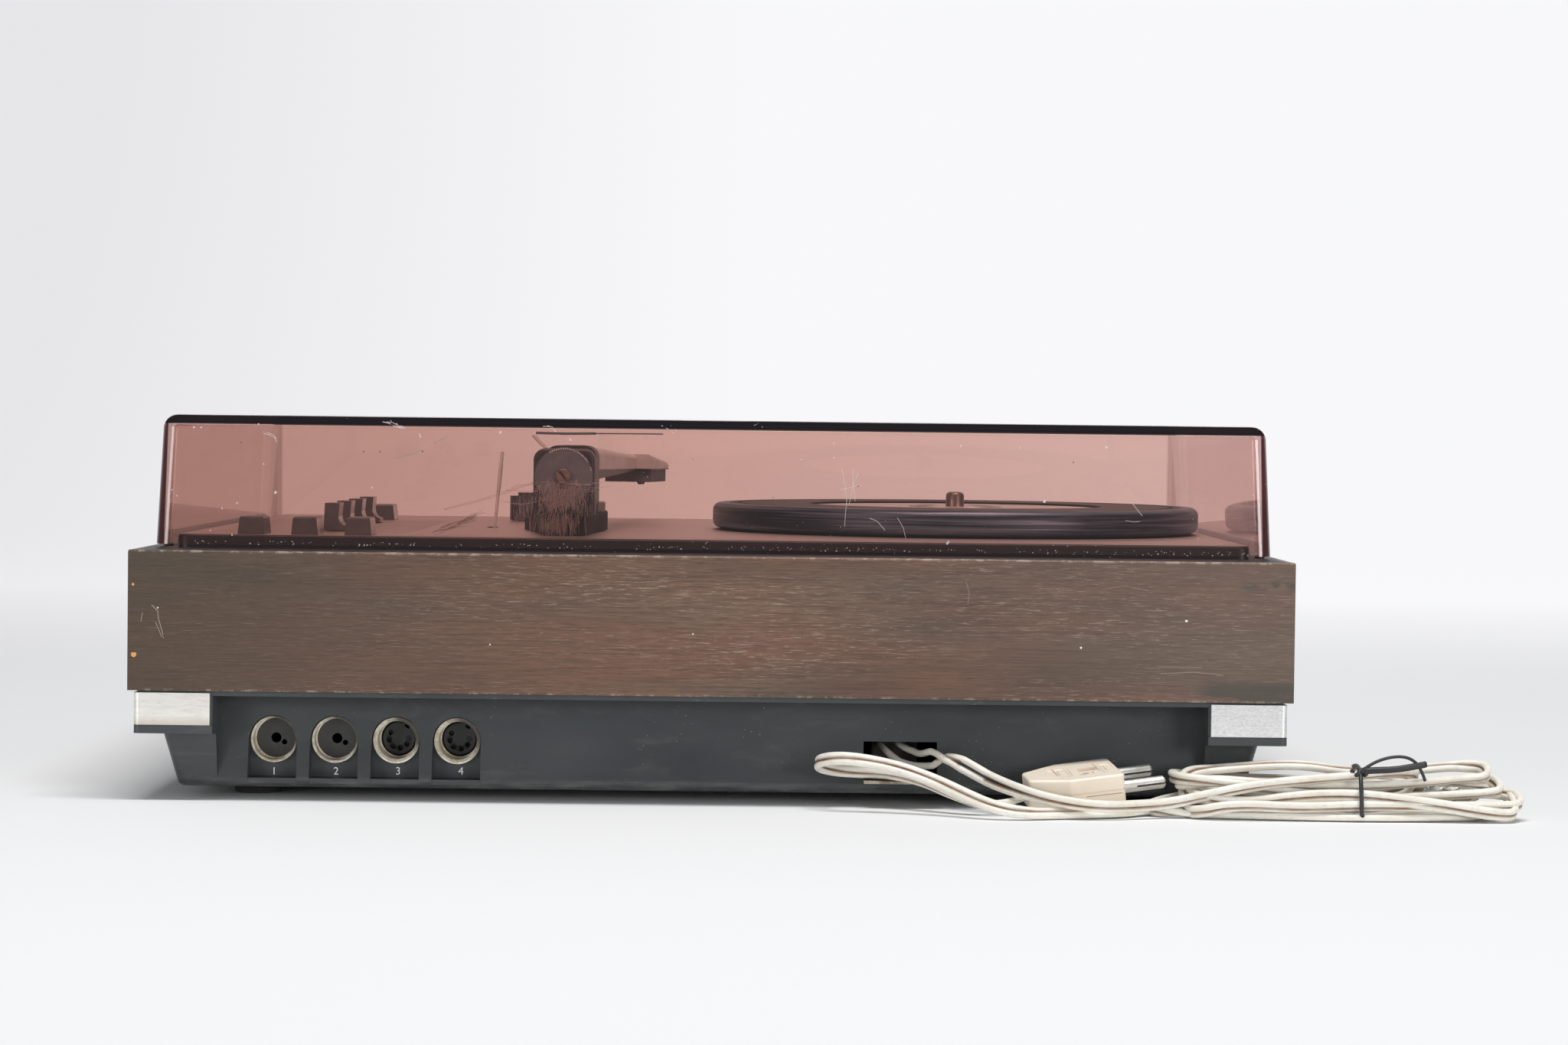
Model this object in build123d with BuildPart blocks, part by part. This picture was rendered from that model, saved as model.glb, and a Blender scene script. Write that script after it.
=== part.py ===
from build123d import *

import os
from math import cos, pi, radians, sin, tan

# Stereo music centre: a record player and amplifier in one plinth, with a lift-off dust cover. Millimetres.
# +Z is up and the front faces -Y. The origin is on the surface that the feet stand on, under the plinth's middle.

# ---- driving dimensions: plinth and levels -------------------------------------------------------------------
plinth_width = 403.0
plinth_depth = 325.0
foot_height = 4.0
foot_diameter = 18.0
foot_inset = 40.0
foot_screw_radius = 1.5
boss_radius = 5.0
boss_height = 8.0
tub_height = 34.6
board_height = 48.6
board_thickness = 16.0
rail_width = 31.0  # top rail of the front and rear boards, which carries the deck
rail_thickness = 10.0
deck_thickness = 4.8
deck_rear_margin = 27.0
deck_side_margin = 12.0

# ---- bottom tub ----------------------------------------------------------------------------------------------
wall = 2.5
tub_draft = 0.25
tub_corner = 4.0
lip_root_inset = 10.3
lip_tip_inset = 1.7
lip_root_height = 18.9  # above the tub's underside
lip_slope_height = 0.7
lip_edge_height = 3.0
strip_height = 11.1
strip_thickness = 1.2
strip_return = 26.5
flange_thickness = 1.9
panel_top_depth = 19.6
panel_bottom_depth = 13.5
panel_clear = 0.9  # gap from the strip's end to the side of the rear recess
strip_corner = 2.0
pillar_radius = 5.0
pillar_inset = 27.0
pillar_seat = 20.0  # height of the screw seat above the tub's underside
screw_radius = 1.9
screw_head_radius = 3.7
block_side = 24.0
block_height = 24.0

# ---- sockets -------------------------------------------------------------------------------------------------
socket_pitch = 21.45
socket_first_inset = 48.05  # first socket from the right side of the plinth
socket_height = 20.5
socket_floor_depth = 21.5
arch_width = 17.0
step_height = 7.3
shell_rim_radius = 8.1
shell_tube_radius = 7.75
shell_rim_thickness = 2.0
shell_length = 16.0
speaker_bore_radius = 7.35
speaker_recess = 6.0
din_bore_radius = 6.7
din_core_radius = 5.6
insert_step = 0.4  # the bore is this much narrower round its insert
din_core_recess = 9.0
din_well_recess = 12.0
pin_circle_radius = 3.5

# ---- inside the tub ------------------------------------------------------------------------------------------
transformer_inset = 62.0
transformer_depth = 88.0
core_width = 50.0
core_height = 42.0
core_stack = 22.0
core_leg = 16.6
window_width = 8.5
coil_wall = 8.2
board_size = (170.0, 100.0)
pcb_thickness = 1.6
board_shift = (62.0, -35.0)
standoff_radius = 3.0
standoff_height = 7.5
fin_count = 9

# ---- cable slot ----------------------------------------------------------------------------------------------
slot_left = 53.4  # distances from the middle, towards the left side of the plinth
slot_right = 79.2
slot_bottom = 11.0
slot_top = 22.3
clamp_height = 1.3
clamp_reach = 10.5

# ---- dust cover ----------------------------------------------------------------------------------------------
cover_side_margin = 4.9
cover_end_margin = 23.0
cover_gap = 1.2
cover_height = 45.7
cover_wall = 3.4
cover_draft = 0.046
cover_edge = 5.0
cover_corner = 5.6
pad_thickness = 0.9

# ---- turntable -----------------------------------------------------------------------------------------------
platter_side_inset = 109.5
platter_radius = 94.7
platter_clear = 0.6
platter_height = 9.8
platter_web = 2.2
rim_wall = 5.5
mat_inner_radius = 57.0
mat_edge = 6.7  # from the platter's rim to its mat
mat_thickness = 1.6
disc_radius = 56.5
hub_radius = 18.0
spindle_radius = 3.55
journal_radius = 4.0  # of the spindle, below the platter's top
spindle_top = 107.4
bearing_length = 26.0
run_clear = 0.05
body_gap = 0.3
idler_radius = 14.0
idler_thickness = 3.6
pulley_radius = 4.0
motor_radius = 24.0
motor_height = 30.0

# ---- tone arm ------------------------------------------------------------------------------------------------
arm_offset = 146.3  # pivot from the spindle, across
pivot_depth = 100.0  # pivot from the rear face
pivot_rise = 14.2  # above the arm's base
base_height = 7.3
base_width = 31.0
base_rear_width = 14.2
yoke_width = 19.0
yoke_length = 22.0
yoke_rise = 24.9  # above the arm's base
beam_width = 13.0
beam_tip_width = 9.0
beam_length = 128.0
beam_skin = 1.5
counterweight_width = 22.0
counterweight_length = 13.0
counterweight_depth = 47.0  # its rear face from the rear face of the plinth
balance_radius = 10.5
balance_thickness = 3.0
knurl_count = 60
head_length = 33.0
head_width = 17.0
stylus_drop = 1.3
rest_reach = 30.0

# ---- controls ------------------------------------------------------------------------------------------------
panel_side_inset = 20.5
panel_width = 70.0
panel_rear_depth = 31.0
panel_length = 224.0
groove_pitch = 5.0
key_first_inset = 37.6
key_pitch = 18.9
key_depth = 40.0
key_width = 9.6
key_top_width = 8.2
key_length = 16.0
key_height = 6.2
key_travel = 2.5
mains_key_depth = 236.0
slider_inset = 62.3
slider_rear_depth = 78.0
slider_pitch = 36.0
slider_width = 8.4
slider_top_width = 5.4
slider_length = 12.0
slider_height = 10.3
slider_travel = 14.0
stem_thickness = 1.2
stem_width = 3.0
lever_inset = 114.1
lever_depth = 144.0
lever_radius = 0.8
lever_top = 121.2
knob_inset = 120.8
knob_depth = 238.0
knob_radius = 7.0
knob_ribs = 26

# ---- cord ----------------------------------------------------------------------------------------------------
cord_radius = 2.0
pin_radius = 2.15

# ---- levels and planes that follow ---------------------------------------------------------------------------
half_width = plinth_width / 2
half_depth = plinth_depth / 2
tub_z = foot_height
tub_top = tub_z + tub_height
board_top = tub_top + board_height
deck_top = board_top + deck_thickness
lip_root_z = tub_z + lip_root_height
lip_z = lip_root_z + lip_slope_height
ledge_z = lip_z + lip_edge_height
flange_z = tub_top - flange_thickness
platter_x = -half_width + platter_side_inset
platter_z = deck_top + platter_clear
platter_top = platter_z + platter_height
pivot_x = platter_x + arm_offset
pivot_y = half_depth - pivot_depth
base_top = deck_top + base_height
pivot_height = base_top + pivot_rise
yoke_top = base_top + yoke_rise
recess_half = half_width - lip_tip_inset - strip_return - panel_clear
panel_slope = (panel_top_depth - panel_bottom_depth) / tub_height
cover_bottom = board_top + cover_gap


def back(depth):
    """Upright plane a given depth in from the plinth's rear face; extruding from it goes towards the front."""
    return Plane.XZ.offset(depth - half_depth)


def y_at(depth):
    return half_depth - depth


def panel_depth(level):
    """Depth of the leaning rear panel at a level."""
    return panel_bottom_depth + panel_slope * (level - tub_z)


def save(name, label):
    name.part.label = label
    export_step(name.part, f"parts/{label}.step")


def tapered_block(inset_low, inset_high, low, high, radius):
    """Block between two levels whose four sides stand in from the plinth by different insets."""
    with BuildPart() as block:
        for inset, level in ((inset_low, low), (inset_high, high)):
            with BuildSketch(Plane.XY.offset(level)):
                RectangleRounded(plinth_width - 2 * inset, plinth_depth - 2 * inset, radius)
        loft()
    return block.part


def recess_prism(half, step, low, high):
    """Everything behind the leaning rear panel, or behind a plane a step further in."""
    with BuildPart() as prism:
        with BuildSketch(Plane.YZ.offset(-half)):
            with BuildLine():
                Polyline(
                    (half_depth + 1, low),
                    (y_at(panel_depth(low) + step), low),
                    (y_at(panel_depth(high) + step), high),
                    (half_depth + 1, high),
                    close=True,
                )
            make_face()
        extrude(amount=2 * half)
    return prism.part


os.makedirs("parts", exist_ok=True)

# ---- bottom tub ----------------------------------------------------------------------------------------------
floor_inset = lip_root_inset + tub_draft * lip_root_height
ledge_inset = lip_tip_inset + strip_thickness
socket_xs = [half_width - socket_first_inset - i * socket_pitch for i in range(4)]
slot_x = -(slot_left + slot_right) / 2
slot_width = slot_right - slot_left
arch_radius = arch_width / 2
foot_spots = GridLocations(plinth_width - 2 * foot_inset, plinth_depth - 2 * foot_inset, 2, 2)
pillar_spots = GridLocations(plinth_width - 2 * pillar_inset, plinth_depth - 2 * pillar_inset, 2, 2)
board_length, board_depth = board_size
standoff_pitch = (board_length - 4 * standoff_radius, board_depth - 4 * standoff_radius)
board_spots = [
    (board_shift[0] + x * standoff_pitch[0] / 2, board_shift[1] + y * standoff_pitch[1] / 2)
    for x in (-1, 1)
    for y in (-1, 1)
]

with BuildPart() as tub_cavity:
    add(tapered_block(floor_inset + wall, lip_root_inset + wall, tub_z + wall, lip_root_z + wall, tub_corner))
    add(tapered_block(ledge_inset + wall, ledge_inset + wall, lip_root_z + wall, tub_top + 1, strip_corner))
    add(recess_prism(recess_half + wall, wall, 0, tub_top + 2), mode=Mode.SUBTRACT)
    with BuildSketch(back(0)):
        with Locations((sum(socket_xs) / 4, socket_height)):
            Rectangle(3 * socket_pitch + arch_width + 2 * wall, 2 * socket_height)
    extrude(amount=socket_floor_depth + wall, mode=Mode.SUBTRACT)

with BuildPart() as bottom_tub:
    add(tapered_block(floor_inset, lip_root_inset, tub_z, lip_root_z, tub_corner))
    fillet(bottom_tub.edges().group_by(Axis.Z)[0], 3.0)
    add(tapered_block(lip_root_inset, lip_tip_inset, lip_root_z, lip_z, strip_corner))
    add(tapered_block(lip_tip_inset, lip_tip_inset, lip_z, ledge_z, strip_corner))
    add(tapered_block(ledge_inset, ledge_inset, ledge_z, tub_top, strip_corner - strip_thickness))
    add(recess_prism(recess_half, 0, 0, flange_z), mode=Mode.SUBTRACT)
    add(tub_cavity.part, mode=Mode.SUBTRACT)
    # arched bays for the sockets, each with a step across its foot
    with BuildSketch(back(0)):
        for x in socket_xs:
            with Locations((x, socket_height)):
                Circle(arch_radius)
            with Locations((x, (socket_height + step_height) / 2)):
                Rectangle(arch_width, socket_height - step_height)
    extrude(amount=socket_floor_depth, mode=Mode.SUBTRACT)
    with BuildSketch(back(0)):
        for x in socket_xs:
            with Locations((x, step_height / 2)):
                Rectangle(arch_width, step_height)
    extrude(amount=panel_bottom_depth + wall / 2, mode=Mode.SUBTRACT)
    # holes for the socket bodies and the cable slot
    with BuildSketch(back(0)):
        for x in socket_xs:
            with Locations((x, socket_height)):
                Circle(shell_tube_radius + run_clear)
        with Locations((slot_x, (slot_bottom + slot_top) / 2)):
            Rectangle(slot_width, slot_top - slot_bottom)
    extrude(amount=socket_floor_depth + 2 * wall, mode=Mode.SUBTRACT)
    # foot bosses, screw pillars under the plinth's corner blocks and standoffs for the amplifier board
    with BuildSketch(Plane.XY.offset(tub_z + wall)):
        with foot_spots:
            Circle(boss_radius)
    extrude(amount=boss_height)
    with BuildSketch(Plane.XY.offset(tub_z)):
        with foot_spots:
            Circle(foot_screw_radius + run_clear)
    extrude(amount=wall + boss_height, mode=Mode.SUBTRACT)
    with BuildSketch(Plane.XY.offset(tub_z)):
        with pillar_spots:
            Circle(pillar_radius)
    extrude(amount=tub_height)
    with BuildSketch(Plane.XY.offset(tub_z)):
        with pillar_spots:
            Circle(screw_head_radius + body_gap)
    extrude(amount=pillar_seat, mode=Mode.SUBTRACT)
    with BuildSketch(Plane.XY.offset(tub_z)):
        with pillar_spots:
            Circle(screw_radius + run_clear)
    extrude(amount=tub_height, mode=Mode.SUBTRACT)
    with BuildSketch(Plane.XY.offset(tub_z + wall)):
        with Locations(*board_spots):
            Circle(standoff_radius)
    extrude(amount=standoff_height)
save(bottom_tub, "bottom_tub")

# ---- feet and the screws that hold the tub -------------------------------------------------------------------
with BuildPart() as feet:
    with BuildSketch(Plane.XY.offset(foot_height)):
        with foot_spots:
            Circle(foot_diameter / 2)
    extrude(amount=-foot_height, taper=8)
    with BuildSketch():
        with foot_spots:
            Circle(screw_head_radius + body_gap)
    extrude(amount=foot_height / 2, mode=Mode.SUBTRACT)
    with BuildSketch():
        with foot_spots:
            Circle(foot_screw_radius + run_clear)
    extrude(amount=foot_height, mode=Mode.SUBTRACT)
save(feet, "feet")


def screws(spots, seat, head_radius, head_height, shank_radius, shank_length):
    """Pan head screws driven upwards, their heads against a seat."""
    with BuildPart() as group:
        with BuildSketch(Plane.XY.offset(seat)):
            with spots:
                Circle(head_radius)
        extrude(amount=-head_height)
        with BuildSketch(Plane.XY.offset(seat)):
            with spots:
                Circle(shank_radius)
        extrude(amount=shank_length)
    return group


foot_screws = screws(
    foot_spots, foot_height / 2, screw_head_radius, foot_height / 2 - body_gap, foot_screw_radius, wall + boss_height
)
save(foot_screws, "foot_screws")
screw_bite = block_height / 2
tub_screws = screws(
    pillar_spots,
    tub_z + pillar_seat,
    screw_head_radius,
    2.5,
    screw_radius,
    tub_height - pillar_seat + screw_bite,
)
save(tub_screws, "tub_screws")

# ---- plinth: four mitred boards, corner blocks and the metal strip ---------------------------------------------
inner_x = half_width - board_thickness
inner_y = half_depth - board_thickness
rail_y = half_depth - rail_width
rail_z = board_top - rail_thickness


def board(corners_low, corners_high):
    """Board of two mitred layers: the upright wall and the top rail."""
    with BuildPart() as layers:
        for corners, low, high in ((corners_low, tub_top, rail_z), (corners_high, rail_z, board_top)):
            with BuildSketch(Plane.XY.offset(low)):
                with BuildLine():
                    Polyline(*corners, close=True)
                make_face()
            extrude(amount=high - low)
    return layers


for label, side in (("wood_rear", 1), ("wood_front", -1)):
    outer = [(half_width, side * half_depth), (-half_width, side * half_depth)]
    board_part = board(
        outer + [(-inner_x, side * inner_y), (inner_x, side * inner_y)],
        outer + [(-inner_x, side * rail_y), (inner_x, side * rail_y)],
    )
    with board_part:
        outer_edges = board_part.edges().filter_by(Axis.X).group_by(SortBy.LENGTH)[-1]
        fillet(outer_edges.sort_by(Axis.Z)[-1], 0.8)
    save(board_part, label)

for label, side in (("wood_right", 1), ("wood_left", -1)):
    outer = [(side * half_width, half_depth), (side * half_width, -half_depth)]
    board_part = board(
        outer + [(side * inner_x, -inner_y), (side * inner_x, inner_y)],
        outer + [(side * inner_x, -rail_y), (side * inner_x, rail_y)],
    )
    with board_part:
        outer_edges = board_part.edges().filter_by(Axis.Y).group_by(SortBy.LENGTH)[-1]
        fillet(outer_edges.sort_by(Axis.Z)[-1], 0.8)
    save(board_part, label)

block_spots = GridLocations(2 * inner_x - block_side, 2 * inner_y - block_side, 2, 2)
with BuildPart() as corner_blocks:
    with BuildSketch(Plane.XY.offset(tub_top)):
        with block_spots:
            Rectangle(block_side, block_side)
    extrude(amount=block_height)
    with BuildSketch(Plane.XY.offset(tub_top)):
        with pillar_spots:
            Circle(screw_radius)
    extrude(amount=screw_bite, mode=Mode.SUBTRACT)
save(corner_blocks, "corner_blocks")

with BuildPart() as aluminium_trim:
    add(tapered_block(lip_tip_inset, lip_tip_inset, ledge_z, ledge_z + strip_height, strip_corner))
    add(
        tapered_block(ledge_inset, ledge_inset, ledge_z, ledge_z + strip_height, strip_corner - strip_thickness),
        mode=Mode.SUBTRACT,
    )
    with BuildSketch(back(0)):
        with Locations((0, ledge_z + strip_height / 2)):
            Rectangle(2 * (recess_half + panel_clear), strip_height)
    extrude(amount=ledge_inset + 1, mode=Mode.SUBTRACT)
save(aluminium_trim, "aluminium_trim")

# ---- controls' places ----------------------------------------------------------------------------------------
panel_x = half_width - panel_side_inset - panel_width / 2
panel_y = y_at(panel_rear_depth + panel_length / 2)
panel_thickness = 1.0
key_xs = [half_width - key_first_inset - i * key_pitch for i in range(3)]
key_spots = [(x, y_at(key_depth)) for x in key_xs] + [(half_width - slider_inset, y_at(mains_key_depth))]
slider_spots = [(half_width - slider_inset, y_at(slider_rear_depth + i * slider_pitch)) for i in range(4)]
slot_length = 2 * slider_travel + stem_width + 2 * body_gap
lever_x = half_width - lever_inset
lever_y = y_at(lever_depth)
knob_x = half_width - knob_inset
knob_y = y_at(knob_depth)
control_clear = 2 * body_gap
shaft_radius = 2.0
hinge_z = board_top - 4.0
hub_width = 4.0
hub_radius_lever = 3.5
ear_width = 2.0

# ---- turntable's places --------------------------------------------------------------------------------------
rim_inner = platter_radius - rim_wall
idler_reach = rim_inner - body_gap - idler_radius
idler_angle = radians(140)
idler_x = platter_x + idler_reach * cos(idler_angle)
idler_y = idler_reach * sin(idler_angle)
pulley_reach = idler_radius + body_gap + pulley_radius
pulley_angle = radians(10)
pulley_x = idler_x + pulley_reach * cos(pulley_angle)
pulley_y = idler_y + pulley_reach * sin(pulley_angle)
bearing_radius = 8.0

# ---- deck plate and control panel ----------------------------------------------------------------------------
with BuildPart() as deck_plate:
    with BuildSketch(Plane.XY.offset(board_top)):
        RectangleRounded(plinth_width - 2 * deck_side_margin, plinth_depth - 2 * deck_rear_margin, 4.0)
    extrude(amount=deck_thickness)
    fillet(deck_plate.edges().group_by(Axis.Z)[-1], 1.2)
    with BuildSketch(Plane.XY.offset(deck_top)):
        with Locations((panel_x, panel_y)):
            Rectangle(panel_width, panel_length)
    extrude(amount=-panel_thickness, mode=Mode.SUBTRACT)
    # ears that carry the cue lever's hinge
    with BuildSketch(Plane.YZ.offset(lever_x - hub_width / 2 - body_gap - ear_width)):
        with Locations((lever_y, hinge_z)):
            Circle(hub_radius_lever)
        with Locations((lever_y, (hinge_z + board_top) / 2)):
            Rectangle(2 * hub_radius_lever, board_top - hinge_z)
    extrude(amount=hub_width + 2 * body_gap + 2 * ear_width)
    with BuildSketch(Plane.YZ.offset(lever_x - hub_width / 2 - body_gap)):
        with Locations((lever_y, hinge_z)):
            Rectangle(4 * hub_radius_lever, 2 * (board_top - hinge_z))
    extrude(amount=hub_width + 2 * body_gap, mode=Mode.SUBTRACT)
    with BuildSketch(Plane.YZ.offset(lever_x - hub_width / 2 - body_gap - ear_width)):
        with Locations((lever_y, hinge_z)):
            Circle(lever_radius + run_clear)
    extrude(amount=hub_width + 2 * body_gap + 2 * ear_width, mode=Mode.SUBTRACT)
    with BuildSketch(Plane.XY.offset(board_top)):
        with Locations((platter_x, 0)):
            Circle(bearing_radius)
        with Locations((pulley_x, pulley_y)):
            Circle(pulley_radius + 1)
        with Locations((idler_x, idler_y)):
            Circle(1.5)
        with Locations((knob_x, knob_y)):
            Circle(shaft_radius + run_clear)
        with Locations((lever_x, lever_y)):
            Rectangle(hub_width, 4 * hub_radius_lever)
        for spot in key_spots:
            with Locations(spot):
                Rectangle(key_width + control_clear, key_length + control_clear)
        for spot in slider_spots:
            with Locations(spot):
                Rectangle(slot_length, stem_thickness + control_clear)
    extrude(amount=deck_thickness, mode=Mode.SUBTRACT)
save(deck_plate, "deck_plate")

with BuildPart() as control_panel:
    with BuildSketch(Plane.XY.offset(deck_top - panel_thickness)):
        with Locations((panel_x, panel_y)):
            Rectangle(panel_width, panel_length)
        for spot in key_spots:
            with Locations(spot):
                Rectangle(key_width + control_clear, key_length + control_clear, mode=Mode.SUBTRACT)
        for spot in slider_spots:
            with Locations(spot):
                Rectangle(slot_length, stem_thickness + control_clear, mode=Mode.SUBTRACT)
    extrude(amount=panel_thickness)
    groove_rows = int((mains_key_depth - key_depth - key_length - 2 * groove_pitch) / groove_pitch)
    with BuildSketch(Plane.XY.offset(deck_top)):
        with Locations((panel_x, y_at((mains_key_depth + key_depth) / 2))):
            with GridLocations(panel_width, groove_pitch, 1, groove_rows):
                Rectangle(panel_width, 0.8)
    extrude(amount=-0.35, mode=Mode.SUBTRACT)
save(control_panel, "control_panel")

# ---- keys, slide knobs and what they work --------------------------------------------------------------------
key_depth_below = 5.0
key_names = ("key_1", "key_2", "key_3", "mains_key")
for name, (x, y) in zip(key_names, key_spots):
    with BuildPart() as key:
        with BuildSketch(Plane.XZ.offset(-y - key_length / 2)):
            with BuildLine():
                Polyline(
                    (x - key_width / 2, deck_top - deck_thickness - key_depth_below),
                    (x - key_width / 2, deck_top),
                    (x - key_top_width / 2, deck_top + key_height),
                    (x + key_top_width / 2, deck_top + key_height),
                    (x + key_width / 2, deck_top),
                    (x + key_width / 2, deck_top - deck_thickness - key_depth_below),
                    close=True,
                )
            make_face()
        extrude(amount=key_length)
        fillet(key.edges().group_by(Axis.Z)[-1], 0.7)
    save(key, name)

switch_wall = 2.0
switch_depth = key_depth_below + key_travel + 4.0
switch_bank = ((key_xs[0] + key_xs[2]) / 2, key_spots[0][1])
with BuildPart() as key_switches:
    for (x, y), span in ((switch_bank, 2 * key_pitch), (key_spots[3], 0)):
        with BuildSketch(Plane.XY.offset(board_top)):
            with Locations((x, y)):
                Rectangle(span + key_width + 2 * switch_wall, key_length + control_clear)
        extrude(amount=-switch_depth)
    for spot in key_spots:
        with BuildSketch(Plane.XY.offset(board_top)):
            with Locations(spot):
                Rectangle(key_width + control_clear, key_length + control_clear)
        extrude(amount=-key_depth_below - key_travel - body_gap, mode=Mode.SUBTRACT)
save(key_switches, "key_switches")

carriage_depth = 3.5
for number, (x, y) in enumerate(slider_spots, start=1):
    half = slider_width / 2
    foot_z = deck_top + body_gap
    crown_z = deck_top + slider_height
    crown_x = x + half - 0.4
    waist_x = crown_x - slider_top_width + 1.0
    with BuildPart() as slider:
        with BuildSketch(Plane.XZ.offset(-y - slider_length / 2)):
            with BuildLine():
                face = Line((crown_x - slider_top_width, crown_z), (waist_x - 0.6, crown_z - 4.5))
                hollow = TangentArc(face @ 1, (x - half, foot_z + 1.6), tangent=face % 1)
                Polyline(
                    hollow @ 1,
                    (x - half, foot_z),
                    (x + half, foot_z),
                    (x + half, foot_z + 1.6),
                    (crown_x, crown_z),
                    face @ 0,
                )
            make_face()
        extrude(amount=slider_length)
        with BuildSketch(Plane.XY.offset(foot_z)):
            with Locations((x, y)):
                Rectangle(stem_width, stem_thickness)
        extrude(amount=-(foot_z - board_top) - carriage_depth)
    save(slider, f"slider_{number}")

with BuildPart() as slide_pots:
    with BuildSketch(Plane.XY.offset(board_top)):
        with Locations(*slider_spots):
            Rectangle(slot_length + 8, 11)
    extrude(amount=-8.5)
    with BuildSketch(Plane.XY.offset(board_top)):
        with Locations(*slider_spots):
            Rectangle(slot_length, stem_thickness + control_clear)
    extrude(amount=-carriage_depth - body_gap, mode=Mode.SUBTRACT)
save(slide_pots, "slide_pots")

# ---- speed knob and cue lever --------------------------------------------------------------------------------
knob_height = 10.0
cap_radius = 3.8
cap_height = 1.4
with BuildPart() as speed_knob:
    with BuildSketch(Plane.XY.offset(deck_top + body_gap)):
        with Locations((knob_x, knob_y)):
            Circle(knob_radius - 0.4)
            with PolarLocations(knob_radius - 0.4, knob_ribs):
                Rectangle(0.8, 1.1)
    extrude(amount=knob_height)
    with BuildSketch(Plane.XY.offset(deck_top + body_gap + knob_height)):
        with Locations((knob_x, knob_y)):
            Circle(cap_radius)
    extrude(amount=cap_height)
    with BuildSketch(Plane.XY.offset(deck_top + body_gap)):
        with Locations((knob_x, knob_y)):
            Circle(shaft_radius)
    extrude(amount=-deck_thickness - 4.0)
save(speed_knob, "speed_knob")

lever_lean = -2.7 / (lever_top - deck_top)
lever_foot = Vector(lever_x, lever_y, hinge_z)
lever_tip = Vector(lever_x + lever_lean * (lever_top - hinge_z), lever_y, lever_top)
lever_dir = (lever_tip - lever_foot).normalized()
lever_length = (lever_tip - lever_foot).length
lever_plane = Plane(origin=lever_foot, z_dir=lever_dir)
with BuildPart() as cue_lever:
    with BuildSketch(Plane.YZ.offset(lever_x - hub_width / 2)):
        with Locations((lever_y, hinge_z)):
            Circle(hub_radius_lever)
    extrude(amount=hub_width)
    with BuildSketch(Plane.YZ.offset(lever_x - hub_width / 2 - body_gap - ear_width)):
        with Locations((lever_y, hinge_z)):
            Circle(lever_radius)
    extrude(amount=hub_width + 2 * body_gap + 2 * ear_width)
    with BuildSketch(lever_plane):
        Circle(lever_radius - 0.15)
    extrude(amount=lever_length)
    with BuildSketch(lever_plane.offset(lever_length * 0.6)):
        Circle(lever_radius)
    extrude(amount=lever_length * 0.27)
save(cue_lever, "cue_lever")

# ---- turntable -----------------------------------------------------------------------------------------------
web_z = platter_top - mat_thickness - platter_web
disc_top = platter_top - mat_thickness / 2
mat_outer_radius = platter_radius - mat_edge
ring_pitch = (mat_outer_radius - mat_inner_radius - 3) / 4
platter_plane = Plane(origin=(platter_x, 0, 0), x_dir=(1, 0, 0), z_dir=(0, -1, 0))
with BuildPart() as platter:
    with BuildSketch(platter_plane):
        with BuildLine():
            Polyline(
                (journal_radius, platter_z + 1),
                (10, platter_z + 1),
                (10, web_z),
                (rim_inner, web_z),
                (rim_inner, platter_z),
                (platter_radius, platter_z),
                (platter_radius, platter_top),
                (mat_outer_radius + 0.3, platter_top),
                (mat_outer_radius + 0.3, platter_top - mat_thickness),
                (journal_radius, platter_top - mat_thickness),
                close=True,
            )
        make_face()
    revolve(axis=Axis((platter_x, 0, 0), (0, 0, 1)))
    outer_rims = platter.edges().filter_by(GeomType.CIRCLE).group_by(SortBy.RADIUS)[-1]
    fillet(outer_rims, 3.0)
save(platter, "platter")

with BuildPart() as platter_mat:
    with BuildSketch(Plane.XY.offset(platter_top - mat_thickness)):
        with Locations((platter_x, 0)):
            Circle(mat_outer_radius)
            Circle(mat_inner_radius, mode=Mode.SUBTRACT)
    extrude(amount=mat_thickness)
    with BuildSketch(Plane.XY.offset(platter_top)):
        for ring in range(4):
            ring_radius = mat_inner_radius + (ring + 0.8) * ring_pitch
            with Locations((platter_x, 0)):
                Circle(ring_radius + 1.5)
                Circle(ring_radius, mode=Mode.SUBTRACT)
    extrude(amount=-0.4, mode=Mode.SUBTRACT)
save(platter_mat, "platter_mat")

with BuildPart() as platter_disc:
    with BuildSketch(Plane.XY.offset(platter_top - mat_thickness)):
        with Locations((platter_x, 0)):
            Circle(disc_radius)
            Circle(journal_radius + run_clear, mode=Mode.SUBTRACT)
    extrude(amount=mat_thickness / 2)
    with BuildSketch(Plane.XY.offset(disc_top)):
        with Locations((platter_x, 0)):
            Circle(hub_radius)
            Circle(hub_radius - 2, mode=Mode.SUBTRACT)
    extrude(amount=0.4)
save(platter_disc, "platter_disc")

bearing_bottom = board_top - bearing_length
with BuildPart() as spindle:
    with BuildSketch(Plane.XY.offset(bearing_bottom + wall)):
        with Locations((platter_x, 0)):
            Circle(journal_radius)
    extrude(amount=disc_top - bearing_bottom - wall)
    with BuildSketch(Plane.XY.offset(disc_top)):
        with Locations((platter_x, 0)):
            Circle(spindle_radius)
    extrude(amount=spindle_top - disc_top)
    fillet(spindle.edges().group_by(Axis.Z)[-1], 1.6)
save(spindle, "spindle")

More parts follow.
